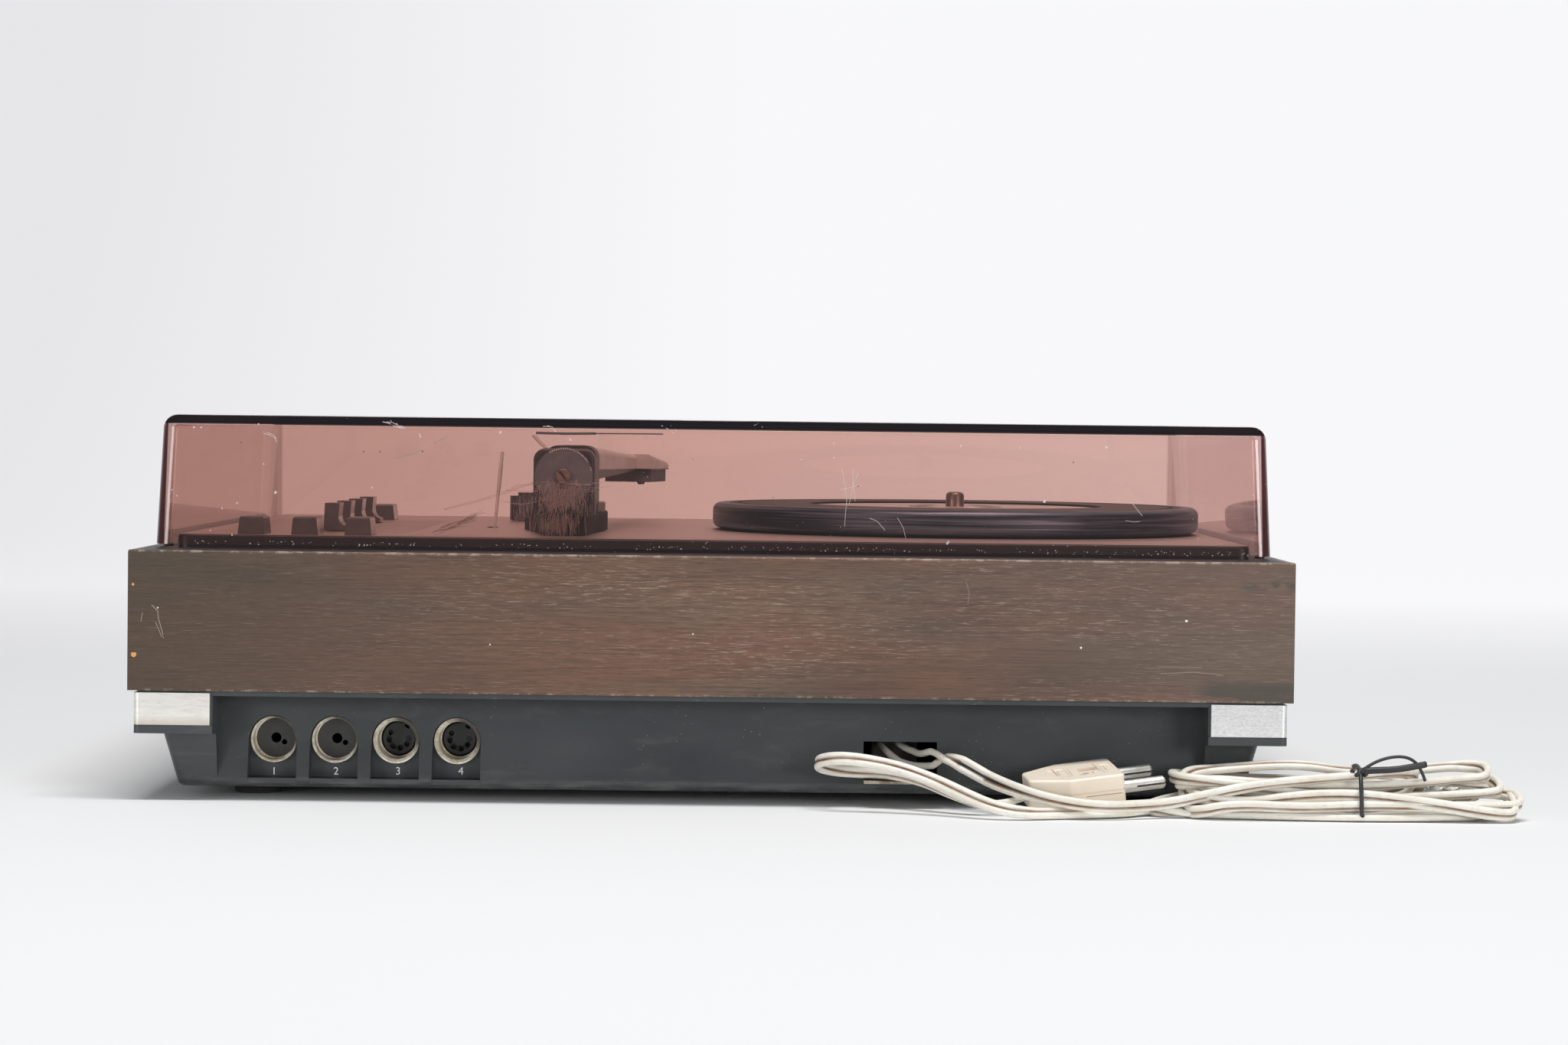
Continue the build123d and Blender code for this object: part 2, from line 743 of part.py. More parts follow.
idler_z = deck_top + platter_clear + body_gap
with BuildPart() as turntable_bearings:
    with BuildSketch(Plane.XY.offset(bearing_bottom)):
        with Locations((platter_x, 0)):
            Circle(bearing_radius)
    extrude(amount=bearing_length + deck_thickness)
    with BuildSketch(Plane.XY.offset(bearing_bottom + wall - body_gap)):
        with Locations((platter_x, 0)):
            Circle(journal_radius + run_clear)
    extrude(amount=bearing_length + deck_thickness, mode=Mode.SUBTRACT)
    with BuildSketch(Plane.XY.offset(board_top)):
        with Locations((idler_x, idler_y)):
            Circle(1.5)
    extrude(amount=idler_z + idler_thickness - board_top)
    with BuildSketch(Plane.XY.offset(deck_top)):
        with Locations((idler_x, idler_y)):
            Circle(3.5)
    extrude(amount=idler_z - body_gap - deck_top)
save(turntable_bearings, "turntable_bearings")

with BuildPart() as idler_wheel:
    with BuildSketch(Plane.XY.offset(idler_z)):
        with Locations((idler_x, idler_y)):
            Circle(idler_radius)
            Circle(1.5 + run_clear, mode=Mode.SUBTRACT)
    extrude(amount=idler_thickness)
save(idler_wheel, "idler_wheel")

motor_top = board_top - 6.0
with BuildPart() as motor_pulley:
    with BuildSketch(Plane.XY.offset(idler_z)):
        with Locations((pulley_x, pulley_y)):
            Circle(pulley_radius)
    extrude(amount=idler_thickness)
    with BuildSketch(Plane.XY.offset(motor_top - 8)):
        with Locations((pulley_x, pulley_y)):
            Circle(1.5)
    extrude(amount=idler_z - motor_top + 8)
save(motor_pulley, "motor_pulley")

with BuildPart() as motor:
    with BuildSketch(Plane.XY.offset(motor_top)):
        with Locations((pulley_x, pulley_y)):
            Circle(motor_radius)
    extrude(amount=-motor_height)
    fillet(motor.edges().group_by(Axis.Z)[0], 2.0)
    with BuildSketch(Plane.XY.offset(motor_top)):
        with Locations((pulley_x, pulley_y)):
            with PolarLocations(motor_radius - 4, 3, 60):
                Circle(3)
    extrude(amount=board_top - motor_top)
    with BuildSketch(Plane.XY.offset(motor_top)):
        with Locations((pulley_x, pulley_y)):
            Circle(1.5 + run_clear)
    extrude(amount=-8 - body_gap, mode=Mode.SUBTRACT)
save(motor, "motor")

# ---- sockets -------------------------------------------------------------------------------------------------
rim_depth = socket_floor_depth - shell_rim_thickness
speaker_xs, din_xs = socket_xs[:2], socket_xs[2:]


def shells(xs, bore, recess):
    """Metal cups seen from behind: a rim on the bay's floor and a tube, its bore stepped where the insert sits."""
    with BuildPart() as cups:
        for x in xs:
            with BuildSketch(back(rim_depth)):
                with Locations((x, socket_height)):
                    Circle(shell_rim_radius)
            extrude(amount=shell_rim_thickness)
            with BuildSketch(back(socket_floor_depth)):
                with Locations((x, socket_height)):
                    Circle(shell_tube_radius)
            extrude(amount=shell_length - shell_rim_thickness)
        for x in xs:
            with BuildSketch(back(rim_depth)):
                with Locations((x, socket_height)):
                    Circle(bore)
            extrude(amount=recess, mode=Mode.SUBTRACT)
            with BuildSketch(back(rim_depth)):
                with Locations((x, socket_height)):
                    Circle(bore - insert_step)
            extrude(amount=shell_length, mode=Mode.SUBTRACT)
        mouth = cups.edges().filter_by(GeomType.CIRCLE).group_by(Axis.Y)[-1].group_by(SortBy.RADIUS)[0]
        chamfer(mouth, (shell_rim_radius - bore) * 0.6)
    return cups


save(shells(speaker_xs, speaker_bore_radius, speaker_recess), "speaker_shells")
save(shells(din_xs, din_bore_radius, din_core_recess), "din_shells")

with BuildPart() as speaker_inserts:
    with BuildSketch(back(rim_depth + speaker_recess)):
        for x in speaker_xs:
            with Locations((x, socket_height)):
                Circle(speaker_bore_radius - insert_step)
                Circle(1.8, mode=Mode.SUBTRACT)
            with Locations((x - 2.9, socket_height - 1.5)):
                Circle(0.95, mode=Mode.SUBTRACT)
    extrude(amount=4)
save(speaker_inserts, "speaker_inserts")

pin_arc_centre = 304
with BuildPart() as din_inserts:
    for x in din_xs:
        with BuildSketch(back(rim_depth + din_core_recess)):
            with Locations((x, socket_height)):
                Circle(din_core_radius)
        extrude(amount=din_well_recess - din_core_recess)
        with BuildSketch(back(rim_depth + din_well_recess)):
            with Locations((x, socket_height)):
                Circle(din_bore_radius - insert_step)
        extrude(amount=2.5)
    with BuildSketch(back(rim_depth + din_core_recess)):
        for x in din_xs:
            with Locations((x, socket_height)):
                with PolarLocations(pin_circle_radius, 5, pin_arc_centre - 90, 180 * 5 / 4):
                    Circle(0.95)
                with PolarLocations(din_core_radius, 1, pin_arc_centre - 180):
                    Rectangle(2.0, 1.8)
    extrude(amount=2.5, mode=Mode.SUBTRACT)
save(din_inserts, "din_inserts")

# ---- cable clamp: a ledge below the slot and, inside, the block that grips the cord ----------------------------
ledge_top = slot_bottom - 1.4
ledge_low = ledge_top - clamp_height
grip_depth = socket_floor_depth + 12.5
grip_x = slot_x + 1.5
grip_z = (slot_bottom + slot_top) / 2 + 1.3
with BuildPart() as cable_clamp:
    with BuildSketch(Plane.YZ.offset(slot_x - slot_width / 2)):
        with BuildLine():
            Polyline(
                (y_at(panel_depth(ledge_low)), ledge_low),
                (y_at(panel_depth(ledge_low) - clamp_reach), ledge_top - 0.9),
                (y_at(panel_depth(ledge_low) - clamp_reach), ledge_top),
                (y_at(panel_depth(ledge_top)), ledge_top),
                close=True,
            )
        make_face()
    extrude(amount=slot_width)
    with BuildSketch(Plane.XY.offset(tub_z + wall)):
        with Locations((grip_x, y_at(grip_depth) - 6)):
            Rectangle(16, 12)
    extrude(amount=grip_z + 4 - tub_z - wall)
save(cable_clamp, "cable_clamp")

# ---- inside the tub --------------------------------------------------------------------------------------------
floor_z = tub_z + wall
core_x = -half_width + transformer_inset
core_y = y_at(transformer_depth)
leg_offset = (core_leg + window_width) / 2
window_height = core_height - core_leg
with BuildPart() as transformer_core:
    with BuildSketch(Plane.XZ.offset(-core_y - core_stack / 2)):
        with Locations((core_x, floor_z + core_height / 2)):
            Rectangle(core_width, core_height)
        with Locations(
            (core_x - leg_offset, floor_z + core_height / 2), (core_x + leg_offset, floor_z + core_height / 2)
        ):
            Rectangle(window_width, window_height, mode=Mode.SUBTRACT)
    extrude(amount=core_stack)
save(transformer_core, "transformer_core")

with BuildPart() as transformer_coil:
    with BuildSketch(Plane.XY.offset(floor_z + (core_height - window_height) / 2 + run_clear)):
        with Locations((core_x, core_y)):
            RectangleRounded(core_leg + 2 * coil_wall, core_stack + 2 * coil_wall, 3)
            Rectangle(core_leg + 2 * run_clear, core_stack + 2 * run_clear, mode=Mode.SUBTRACT)
    extrude(amount=window_height - 2 * run_clear)
save(transformer_coil, "transformer_coil")

pcb_z = floor_z + standoff_height
sink_y = board_shift[1] + board_depth / 2 - 12
with BuildPart() as amplifier_board:
    with BuildSketch(Plane.XY.offset(pcb_z)):
        with Locations(board_shift):
            Rectangle(board_length, board_depth)
    extrude(amount=pcb_thickness)
    with BuildSketch(Plane.XY.offset(pcb_z + pcb_thickness)):
        with Locations((board_shift[0] - 60, board_shift[1])):
            with GridLocations(28, 30, 2, 2):
                Circle(9)
    extrude(amount=26)
    with BuildSketch(Plane.XY.offset(pcb_z + pcb_thickness)):
        with Locations((board_shift[0] + 25, board_shift[1] - 15)):
            with GridLocations(22, 14, 4, 3):
                Rectangle(9, 3.5)
    extrude(amount=5)
save(amplifier_board, "amplifier_board")

fin_pitch = 7.0
with BuildPart() as heat_sink:
    with BuildSketch(Plane.XY.offset(pcb_z + pcb_thickness)):
        with Locations((board_shift[0] + 25, sink_y)):
            Rectangle(fin_count * fin_pitch, 3)
            with GridLocations(fin_pitch, 0, fin_count, 1):
                with Locations((0, 5)):
                    Rectangle(1.6, 12)
    extrude(amount=30)
save(heat_sink, "heat_sink")

# ---- tone arm --------------------------------------------------------------------------------------------------
arm_bore_radius = 5.0
collar_radius = 10.0
collar_height = 3.0
base_front = pivot_y - 38.0
shoulder_y = pivot_y - 8.0
base_waist = pivot_y - 26.0
base_x = pivot_x + 3.9
base_rear = y_at(pivot_depth - 50.0)
with BuildPart() as arm_base:
    with BuildSketch(Plane.XY.offset(deck_top)):
        with BuildLine():
            Polyline(
                (pivot_x - base_rear_width / 2, base_rear),
                (pivot_x + base_rear_width / 2, base_rear),
                (base_x + base_width / 2, base_waist),
                (base_x + base_width / 2, base_front),
                (base_x - base_width / 2, base_front),
                (base_x - base_width / 2, shoulder_y),
                close=True,
            )
        make_face()
    extrude(amount=base_height)
    chamfer(arm_base.edges().group_by(Axis.Z)[-1], 0.7)
    with BuildSketch(Plane.XY.offset(base_top)):
        with Locations((pivot_x, pivot_y)):
            Circle(arm_bore_radius + run_clear)
    extrude(amount=-base_height, mode=Mode.SUBTRACT)
save(arm_base, "arm_base")

stop_height = 3.7
with BuildPart() as arm_stop:
    with BuildSketch(Plane.XY.offset(base_top)):
        with Locations((pivot_x - 9.8, pivot_y - 19.0)):
            Rectangle(3.2, 8)
    extrude(amount=stop_height)
    chamfer(arm_stop.edges().group_by(Axis.Z)[-1], 0.4)
save(arm_stop, "arm_stop")


def arch(width, low, top, rounding):
    """Upright rectangle over the pivot with its two upper corners rounded, drawn flat with Y for height."""
    with BuildSketch() as outline:
        with Locations((pivot_x, (low + top) / 2)):
            Rectangle(width, top - low)
        fillet(outline.vertices().group_by(Axis.Y)[-1], rounding)
    return outline.sketch


yoke_low = base_top + body_gap
yoke_skin = 1.5
yoke_rounding = 4.4
pivot_pin_radius = 1.5
with BuildPart() as arm_yoke:
    with BuildSketch(Plane.XY.offset(yoke_low)):
        with Locations((pivot_x, pivot_y)):
            Circle(collar_radius)
    extrude(amount=collar_height + 1)
    with BuildSketch(Plane.XY.offset(deck_top + body_gap)):
        with Locations((pivot_x, pivot_y)):
            Circle(arm_bore_radius)
    extrude(amount=base_height)
    with BuildSketch(back(pivot_depth - yoke_length / 2)):
        add(arch(yoke_width, yoke_low + collar_height, yoke_top, yoke_rounding))
        add(
            arch(
                yoke_width - 2 * yoke_skin,
                yoke_low + collar_height + 2,
                yoke_top - yoke_skin,
                yoke_rounding - yoke_skin,
            ),
            mode=Mode.SUBTRACT,
        )
    extrude(amount=yoke_length)
    for side in (-1, 1):
        with BuildSketch(Plane.YZ.offset(pivot_x + side * (beam_width / 2 - 2))):
            with Locations((pivot_y, pivot_height)):
                Circle(pivot_pin_radius)
        extrude(amount=side * (yoke_width / 2 - beam_width / 2 + 2 - yoke_skin / 2))
save(arm_yoke, "arm_yoke")

# the beam leaves the pivot straight and bends towards the platter in front of it
arm_bend = radians(6.3)
beam_low = pivot_height - 2.6
beam_top = pivot_height + 6.6
hood_top = pivot_height + 10.8  # the beam's top where it leaves the yoke
beam_rounding = 3.2
beam_tip_low = pivot_height
beam_tip_top = pivot_height + 6.2
beam_tip_rounding = 2.0
bend_reach = 14.0
block_reach = 9.0
stub_radius = 4.0
bend_point = Vector(pivot_x, pivot_y - bend_reach, 0)


def arm_section(angle, reach):
    """Plane across the arm, at an angle to the front and a reach from the bend, its own Y pointing up."""
    forward = Vector(-sin(angle), -cos(angle), 0)
    return Plane(origin=bend_point + forward * reach, x_dir=(cos(angle), -sin(angle), 0), z_dir=forward)


def box_face(plane, width, low, high, rounding=0.0):
    """Upright rectangle across the arm, its two upper corners rounded."""
    with BuildSketch(plane) as face:
        with Locations((0, (low + high) / 2)):
            Rectangle(width, high - low)
        if rounding:
            fillet(face.vertices().group_by(Axis.Y)[-1], rounding)
    return face.sketch


with BuildPart() as beam_hollow:
    add(box_face(arm_section(arm_bend, 6), beam_width - 2 * beam_skin, beam_low - 1, hood_top - beam_skin - 0.4))
    add(
        box_face(
            arm_section(arm_bend, beam_length - 4),
            beam_tip_width - 2 * beam_skin,
            beam_tip_low - 1,
            beam_tip_top - beam_skin,
        )
    )
    loft()

with BuildPart() as arm_beam:
    add(box_face(arm_section(0, -bend_reach - block_reach), beam_width, beam_low, beam_top, beam_rounding))
    extrude(amount=block_reach + bend_reach + 0.8, dir=(0, -1, 0))
    add(box_face(arm_section(arm_bend, 0), beam_width, beam_low, hood_top, beam_rounding))
    add(box_face(arm_section(arm_bend, beam_length), beam_tip_width, beam_tip_low, beam_tip_top, beam_tip_rounding))
    loft()
    add(beam_hollow.part, mode=Mode.SUBTRACT)
    with BuildSketch(Plane.XZ.offset(-pivot_y - block_reach)):
        with Locations((pivot_x, pivot_height)):
            Circle(stub_radius)
    extrude(amount=-(pivot_depth - counterweight_depth - block_reach - counterweight_length / 2))
    with BuildSketch(Plane.YZ.offset(pivot_x)):
        with Locations((pivot_y, pivot_height)):
            Circle(pivot_pin_radius + run_clear)
    extrude(amount=beam_width / 2 + 1, both=True, mode=Mode.SUBTRACT)
save(arm_beam, "arm_beam")

weight_top = yoke_top - 0.8
weight_rounding = 4.2
weight_low = base_top + 0.6
weight_front = counterweight_depth + counterweight_length
balance_screw_radius = 1.5
with BuildPart() as counterweight:
    with BuildSketch(back(counterweight_depth)):
        add(arch(counterweight_width, weight_low, weight_top, weight_rounding))
    extrude(amount=counterweight_length)
    fillet(counterweight.edges().filter_by(Axis.Z), 1.2)
    with BuildSketch(back(counterweight_depth + counterweight_length / 2)):
        with Locations((pivot_x, pivot_height)):
            Circle(stub_radius + run_clear)
    extrude(amount=counterweight_length / 2, mode=Mode.SUBTRACT)
    with BuildSketch(back(counterweight_depth)):
        with Locations((pivot_x, pivot_height)):
            Circle(balance_screw_radius)
    extrude(amount=counterweight_length / 2 - 1, mode=Mode.SUBTRACT)
save(counterweight, "counterweight")

wheel_depth = counterweight_depth - body_gap - balance_thickness
with BuildPart() as balance_wheel:
    with BuildSketch(back(wheel_depth)):
        with Locations((pivot_x, pivot_height)):
            Circle(balance_radius - 0.35)
            with PolarLocations(balance_radius - 0.35, knurl_count):
                Rectangle(0.6, 0.5)
            Circle(balance_screw_radius + run_clear, mode=Mode.SUBTRACT)
    extrude(amount=balance_thickness)
save(balance_wheel, "balance_wheel")

screw_head_height = 1.3
with BuildPart() as balance_screw:
    with BuildSketch(back(wheel_depth - body_gap - screw_head_height)):
        with Locations((pivot_x, pivot_height)):
            Circle(2.75)
    extrude(amount=screw_head_height)
    chamfer(balance_screw.edges().group_by(Axis.Y)[-1], 0.35)
    with BuildSketch(back(wheel_depth - body_gap)):
        with Locations((pivot_x, pivot_height)):
            Circle(balance_screw_radius)
    extrude(amount=balance_thickness + 2 * body_gap + counterweight_length / 2 - 1.5)
    with BuildSketch(back(wheel_depth - body_gap - screw_head_height)):
        with Locations((pivot_x, pivot_height)):
            Rectangle(6, 0.9, rotation=50)
    extrude(amount=0.8, mode=Mode.SUBTRACT)
save(balance_screw, "balance_screw")

head_turn = radians(15.0)
head_rear_width = 21.0
head_tip_low = 113.5
head_start = arm_section(arm_bend, beam_length).origin


def head_section(reach):
    forward = Vector(-sin(head_turn), -cos(head_turn), 0)
    return Plane(origin=head_start + forward * reach, x_dir=(cos(head_turn), -sin(head_turn), 0), z_dir=forward)


with BuildPart() as head_shell:
    add(box_face(arm_section(arm_bend, beam_length), head_rear_width, head_tip_low, beam_tip_top + 0.3, 1.5))
    add(box_face(head_section(head_length), head_width, head_tip_low, head_tip_low + 3.2, 1.5))
    loft()
save(head_shell, "head_shell")

cartridge_low = 108.5
stylus_tip = cartridge_low - stylus_drop
with BuildPart() as cartridge:
    add(box_face(head_section(2), head_rear_width - 1, cartridge_low, head_tip_low))
    add(box_face(head_section(head_length - 1), head_width - 1.5, cartridge_low, head_tip_low))
    loft()
    fillet(cartridge.edges().filter_by(Axis.Z), 1.2)
    with BuildSketch(head_section(head_length - 14)):
        with BuildLine():
            Polyline(
                (-1.5, cartridge_low + 0.5),
                (1.5, cartridge_low + 0.5),
                (0.5, stylus_tip),
                (-0.5, stylus_tip),
                close=True,
            )
        make_face()
    extrude(amount=5)
save(cartridge, "cartridge")

lift_plane = head_section(head_length * 0.45)
lift_reach = 46.0
lift_rise = 9.6
with BuildPart() as finger_lift:
    with BuildSketch(lift_plane):
        with BuildLine():
            root = (head_rear_width / 2 - 1.0, head_tip_low + 3.8)
            under = ThreePointArc(
                root, (root[0] + lift_reach * 0.55, root[1] + 0.9), (root[0] + lift_reach * 0.8, root[1] + lift_rise)
            )
            offset(under, amount=0.7, side=Side.LEFT)
        make_face()
    extrude(amount=4)
save(finger_lift, "finger_lift")

rest_x = bend_point.X - sin(arm_bend) * (rest_reach - bend_reach)
rest_y = bend_point.Y - cos(arm_bend) * (rest_reach - bend_reach)
lower_angle = radians(1.2)
saddle_z = beam_low + 0.3 - rest_reach * sin(lower_angle) - body_gap
saddle_width = 9.0
saddle_shift = 1.5
with BuildPart() as arm_rest:
    with BuildSketch(Plane.XY.offset(base_top)):
        with Locations((rest_x + saddle_shift, rest_y)):
            Circle(3.0)
    extrude(amount=saddle_z - 2 - base_top)
    with BuildSketch(Plane.XY.offset(saddle_z - 2)):
        with Locations((rest_x + saddle_shift, rest_y)):
            Rectangle(saddle_width, 6)
    extrude(amount=2)
    fillet(arm_rest.edges().group_by(Axis.Z)[-1].filter_by(Axis.Y), 0.8)
save(arm_rest, "arm_rest")

# ---- dust cover ------------------------------------------------------------------------------------------------
cover_top = cover_bottom + cover_height
top_inset = cover_draft * cover_height


def cover_block(step, top):
    """Tapered block in the cover's shape, its sides a step further in, up to a level."""
    with BuildPart() as block:
        for inset, level in ((step, cover_bottom), (step + cover_draft * (top - cover_bottom), top)):
            with BuildSketch(Plane.XY.offset(level)):
                RectangleRounded(
                    plinth_width - 2 * (cover_side_margin + inset),
                    plinth_depth - 2 * (cover_end_margin + inset),
                    cover_corner - step,
                )
        loft()
        fillet(block.edges().group_by(Axis.Z)[-1], cover_edge - step)
    return block.part


with BuildPart() as dust_cover:
    add(cover_block(0, cover_top))
    add(cover_block(cover_wall, cover_top - cover_wall), mode=Mode.SUBTRACT)
save(dust_cover, "dust_cover")

pad_spots = GridLocations(
    plinth_width - 2 * cover_side_margin - cover_wall, plinth_depth - 2 * cover_end_margin - 40, 2, 2
)
with BuildPart() as cover_pads:
    with BuildSketch(Plane.XY.offset(board_top)):
        with pad_spots:
            Circle(cover_wall / 2)
    extrude(amount=pad_thickness)
save(cover_pads, "cover_pads")

# ---- cord ------------------------------------------------------------------------------------------------------
# points of the route: across the rear, out from the rear of the plinth (negative is behind it) and up
lead_route = [
    (-62.0, 34.0, 19.0),
    (-66.0, 22.0, 18.6),
    (-73.0, 9.0, 17.0),
    (-83.0, -1.0, 13.8),
    (-95.0, -8.0, 10.6),
    (-108.0, -17.5, 8.6),
    (-121.0, -24.0, 7.4),
    (-134.0, -24.8, 5.8),
    (-146.0, -19.5, 4.8),
    (-157.0, -15.0, 4.8),
]
plug_route = [
    (-157.0, -4.0, 2.1),
    (-149.5, -7.5, 2.1),
    (-141.0, -16.5, 2.1),
    (-130.5, -20.2, 2.1),
    (-119.0, -22.3, 2.1),
    (-107.5, -26.2, 2.4),
    (-96.5, -26.6, 4.4),
    (-87.0, -21.5, 8.0),
    (-77.5, -15.8, 12.0),
    (-66.0, -11.8, 15.8),
    (-54.5, -9.2, 18.6),
    (-44.0, -8.2, 19.4),
    (-37.3, -2.8, 17.4),
    (-37.3, 4.5, 14.7),
    (-43.5, 9.4, 12.8),
    (-52.5, 7.8, 12.4),
    (-63.0, 4.2, 12.4),
    (-73.0, -1.5, 10.6),
    (-82.5, -8.4, 6.8),
    (-92.6, -12.9, 3.4),
    (-101.8, -10.9, 3.6),
    (-109.2, -6.8, 6.3),
]


def cord_tube(route, name):
    """Tube along straight runs, joined at each point by the largest arc that its two runs allow."""
    points = [Vector(x, y_at(depth), z) for x, depth, z in route]
    radii = []
    for before, point, after in zip(points, points[1:], points[2:]):
        shorter = min((point - before).length, (after - point).length)
        radii.append(0.45 * shorter / tan(radians((point - before).get_angle(after - point)) / 2))
    with BuildPart() as tube:
        with BuildLine() as path:
            FilletPolyline(*points, radius=radii)
        with BuildSketch(Plane(origin=points[0], z_dir=points[1] - points[0])):
            Circle(cord_radius)
        sweep(path=path.wires()[0])
    length = path.wires()[0].length
    section = pi * cord_radius**2
    print(name, "length", round(length, 1), "radii", [round(radius, 1) for radius in radii])
    print(name, "volume over section times length", round(tube.part.volume / (section * length), 4))
    return tube


save(cord_tube(lead_route, "cord_lead"), "cord_lead")
save(cord_tube(plug_route, "cord_plug_lead"), "cord_plug_lead")

hank_near, hank_far = -30.0, 11.0
hank_start, hank_end = lead_route[-1][0], -278.0
hank_height = 15.0
hank_corner = 12.0
hank_edge = 5.0
tie_x = -222.0
tie_width = 2.5
tie_thickness = 1.2
hank_y = (y_at(hank_near) + y_at(hank_far)) / 2
hank_width = hank_far - hank_near
with BuildPart() as cord_hank:
    with BuildSketch():
        with Locations(((hank_start + hank_end) / 2, hank_y)):
            RectangleRounded(hank_start - hank_end, hank_width, hank_corner)
    extrude(amount=hank_height)
    fillet(cord_hank.edges().group_by(Axis.Z)[-1], hank_edge)
    with BuildSketch(Plane.YZ.offset(tie_x - tie_width / 2)):
        with Locations((hank_y, hank_height / 2)):
            Rectangle(hank_width + 2, hank_height + 2)
            RectangleRounded(
                hank_width - 2 * tie_thickness, hank_height - 2 * tie_thickness, hank_edge, mode=Mode.SUBTRACT
            )
    extrude(amount=tie_width, mode=Mode.SUBTRACT)
save(cord_hank, "cord_hank")

with BuildPart() as cord_tie:
    with BuildSketch(Plane.YZ.offset(tie_x - tie_width / 2)):
        with Locations((hank_y, hank_height / 2)):
            RectangleRounded(hank_width - 0.4, hank_height - 0.4, hank_edge)
            RectangleRounded(
                hank_width - 2 * tie_thickness, hank_height - 2 * tie_thickness, hank_edge, mode=Mode.SUBTRACT
            )
    extrude(amount=tie_width)
    with BuildSketch(Plane.XY.offset(hank_height - tie_thickness)):
        with Locations((tie_x, hank_y + 9)):
            Circle(1.2)
    extrude(amount=tie_thickness + 4)
save(cord_tie, "cord_tie")

# ---- plug ------------------------------------------------------------------------------------------------------
# it lies tilted on the cord: its own X runs from the cord's end to the pins, its Y across it, its Z through it
plug_yaw, plug_pitch, plug_roll = radians(7.0), radians(7.0), radians(6.5)
plug_origin = Vector(-111.3, y_at(-19.5), 0.8)
plug_along = Vector(-cos(plug_yaw) * cos(plug_pitch), -sin(plug_yaw) * cos(plug_pitch), sin(plug_pitch))
plug_level = Vector(sin(plug_yaw), -cos(plug_yaw), 0)
plug_normal = plug_along.cross(plug_level) * cos(plug_roll) - plug_level * sin(plug_roll)
plug_plane = Plane(origin=plug_origin, x_dir=plug_along, z_dir=plug_normal)
plug_length = 32.0
plug_width = 26.5
plug_thickness = 10.8
plug_neck = 12.5
plug_shoulder = 13.0
plug_seam = 0.35
pin_pitch = 19.0
pin_length = 14.5
pin_seat = 5.0
pin_slot = 0.7
plug_middle = plug_width / 2


def plug_outline(step):
    """Plan of the plug's shells, a step further in all round."""
    with BuildSketch() as outline:
        with BuildLine():
            Polyline(
                (0, plug_middle - plug_neck / 2),
                (plug_shoulder, 0),
                (plug_length, 0),
                (plug_length, plug_width),
                (plug_shoulder, plug_width),
                (0, plug_middle + plug_neck / 2),
                close=True,
            )
        make_face()
        fillet(outline.vertices(), 1.6)
        offset(amount=-step)
    return outline.sketch


plug_axis = Axis(plug_origin, plug_normal)
plug_end = Plane(
    origin=plug_plane.from_local_coords(Vector(plug_length, plug_middle, plug_thickness / 2)),
    x_dir=plug_plane.y_dir,
    z_dir=plug_along,
)
pocket_reach = 22.0
pocket_size = (7.0, 5.0)
pocket_depth = 4.0
panel_recess = 0.3
panel_marks = ((11.5, 6.0), (28.8, 3.6))
panel_mark_width = 10.0
with BuildPart() as plug_body:
    with BuildSketch(plug_plane):
        add(plug_outline(0))
    extrude(amount=plug_thickness)
    ends = plug_body.faces().sort_by(plug_axis)
    fillet(ends[0].edges() + ends[-1].edges(), 0.8)
    with BuildSketch(plug_plane.offset(plug_thickness / 2)):
        add(plug_outline(-1))
        add(plug_outline(plug_seam), mode=Mode.SUBTRACT)
    extrude(amount=plug_seam, mode=Mode.SUBTRACT)
    with BuildSketch(plug_plane.offset(plug_thickness)):
        with Locations((pocket_reach, plug_middle)):
            RectangleRounded(*pocket_size, 0.8)
    extrude(amount=-pocket_depth, mode=Mode.SUBTRACT)
    with BuildSketch(plug_plane.offset(plug_thickness)):
        for reach, length in panel_marks:
            with Locations((reach, plug_middle)):
                Rectangle(length, panel_mark_width)
    extrude(amount=-panel_recess, mode=Mode.SUBTRACT)
    with BuildSketch(plug_end):
        with GridLocations(pin_pitch, 0, 2, 1):
            Circle(pin_radius + run_clear)
    extrude(amount=-pin_seat, mode=Mode.SUBTRACT)
save(plug_body, "plug_body")

with BuildPart() as plug_pins:
    with BuildSketch(plug_end.offset(-pin_seat)):
        with GridLocations(pin_pitch, 0, 2, 1):
            Circle(pin_radius)
    extrude(amount=pin_seat + pin_length)
    tips = plug_pins.faces().filter_by(GeomType.PLANE).sort_by(Axis(plug_origin, plug_along))[-2:]
    chamfer(tips.edges(), 0.7)
    with BuildSketch(plug_end.offset(pin_length)):
        with GridLocations(pin_pitch, 0, 2, 1):
            Rectangle(2 * pin_radius + 1, pin_slot)
    extrude(amount=-pin_length * 0.7, mode=Mode.SUBTRACT)
save(plug_pins, "plug_pins")
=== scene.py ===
"""Looks of a stereo music centre seen from behind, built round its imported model.

Metres, +Z up. The sockets face +Y."""

import math
import random

import bpy
from mathutils import Matrix, Vector
from mathutils.bvhtree import BVHTree


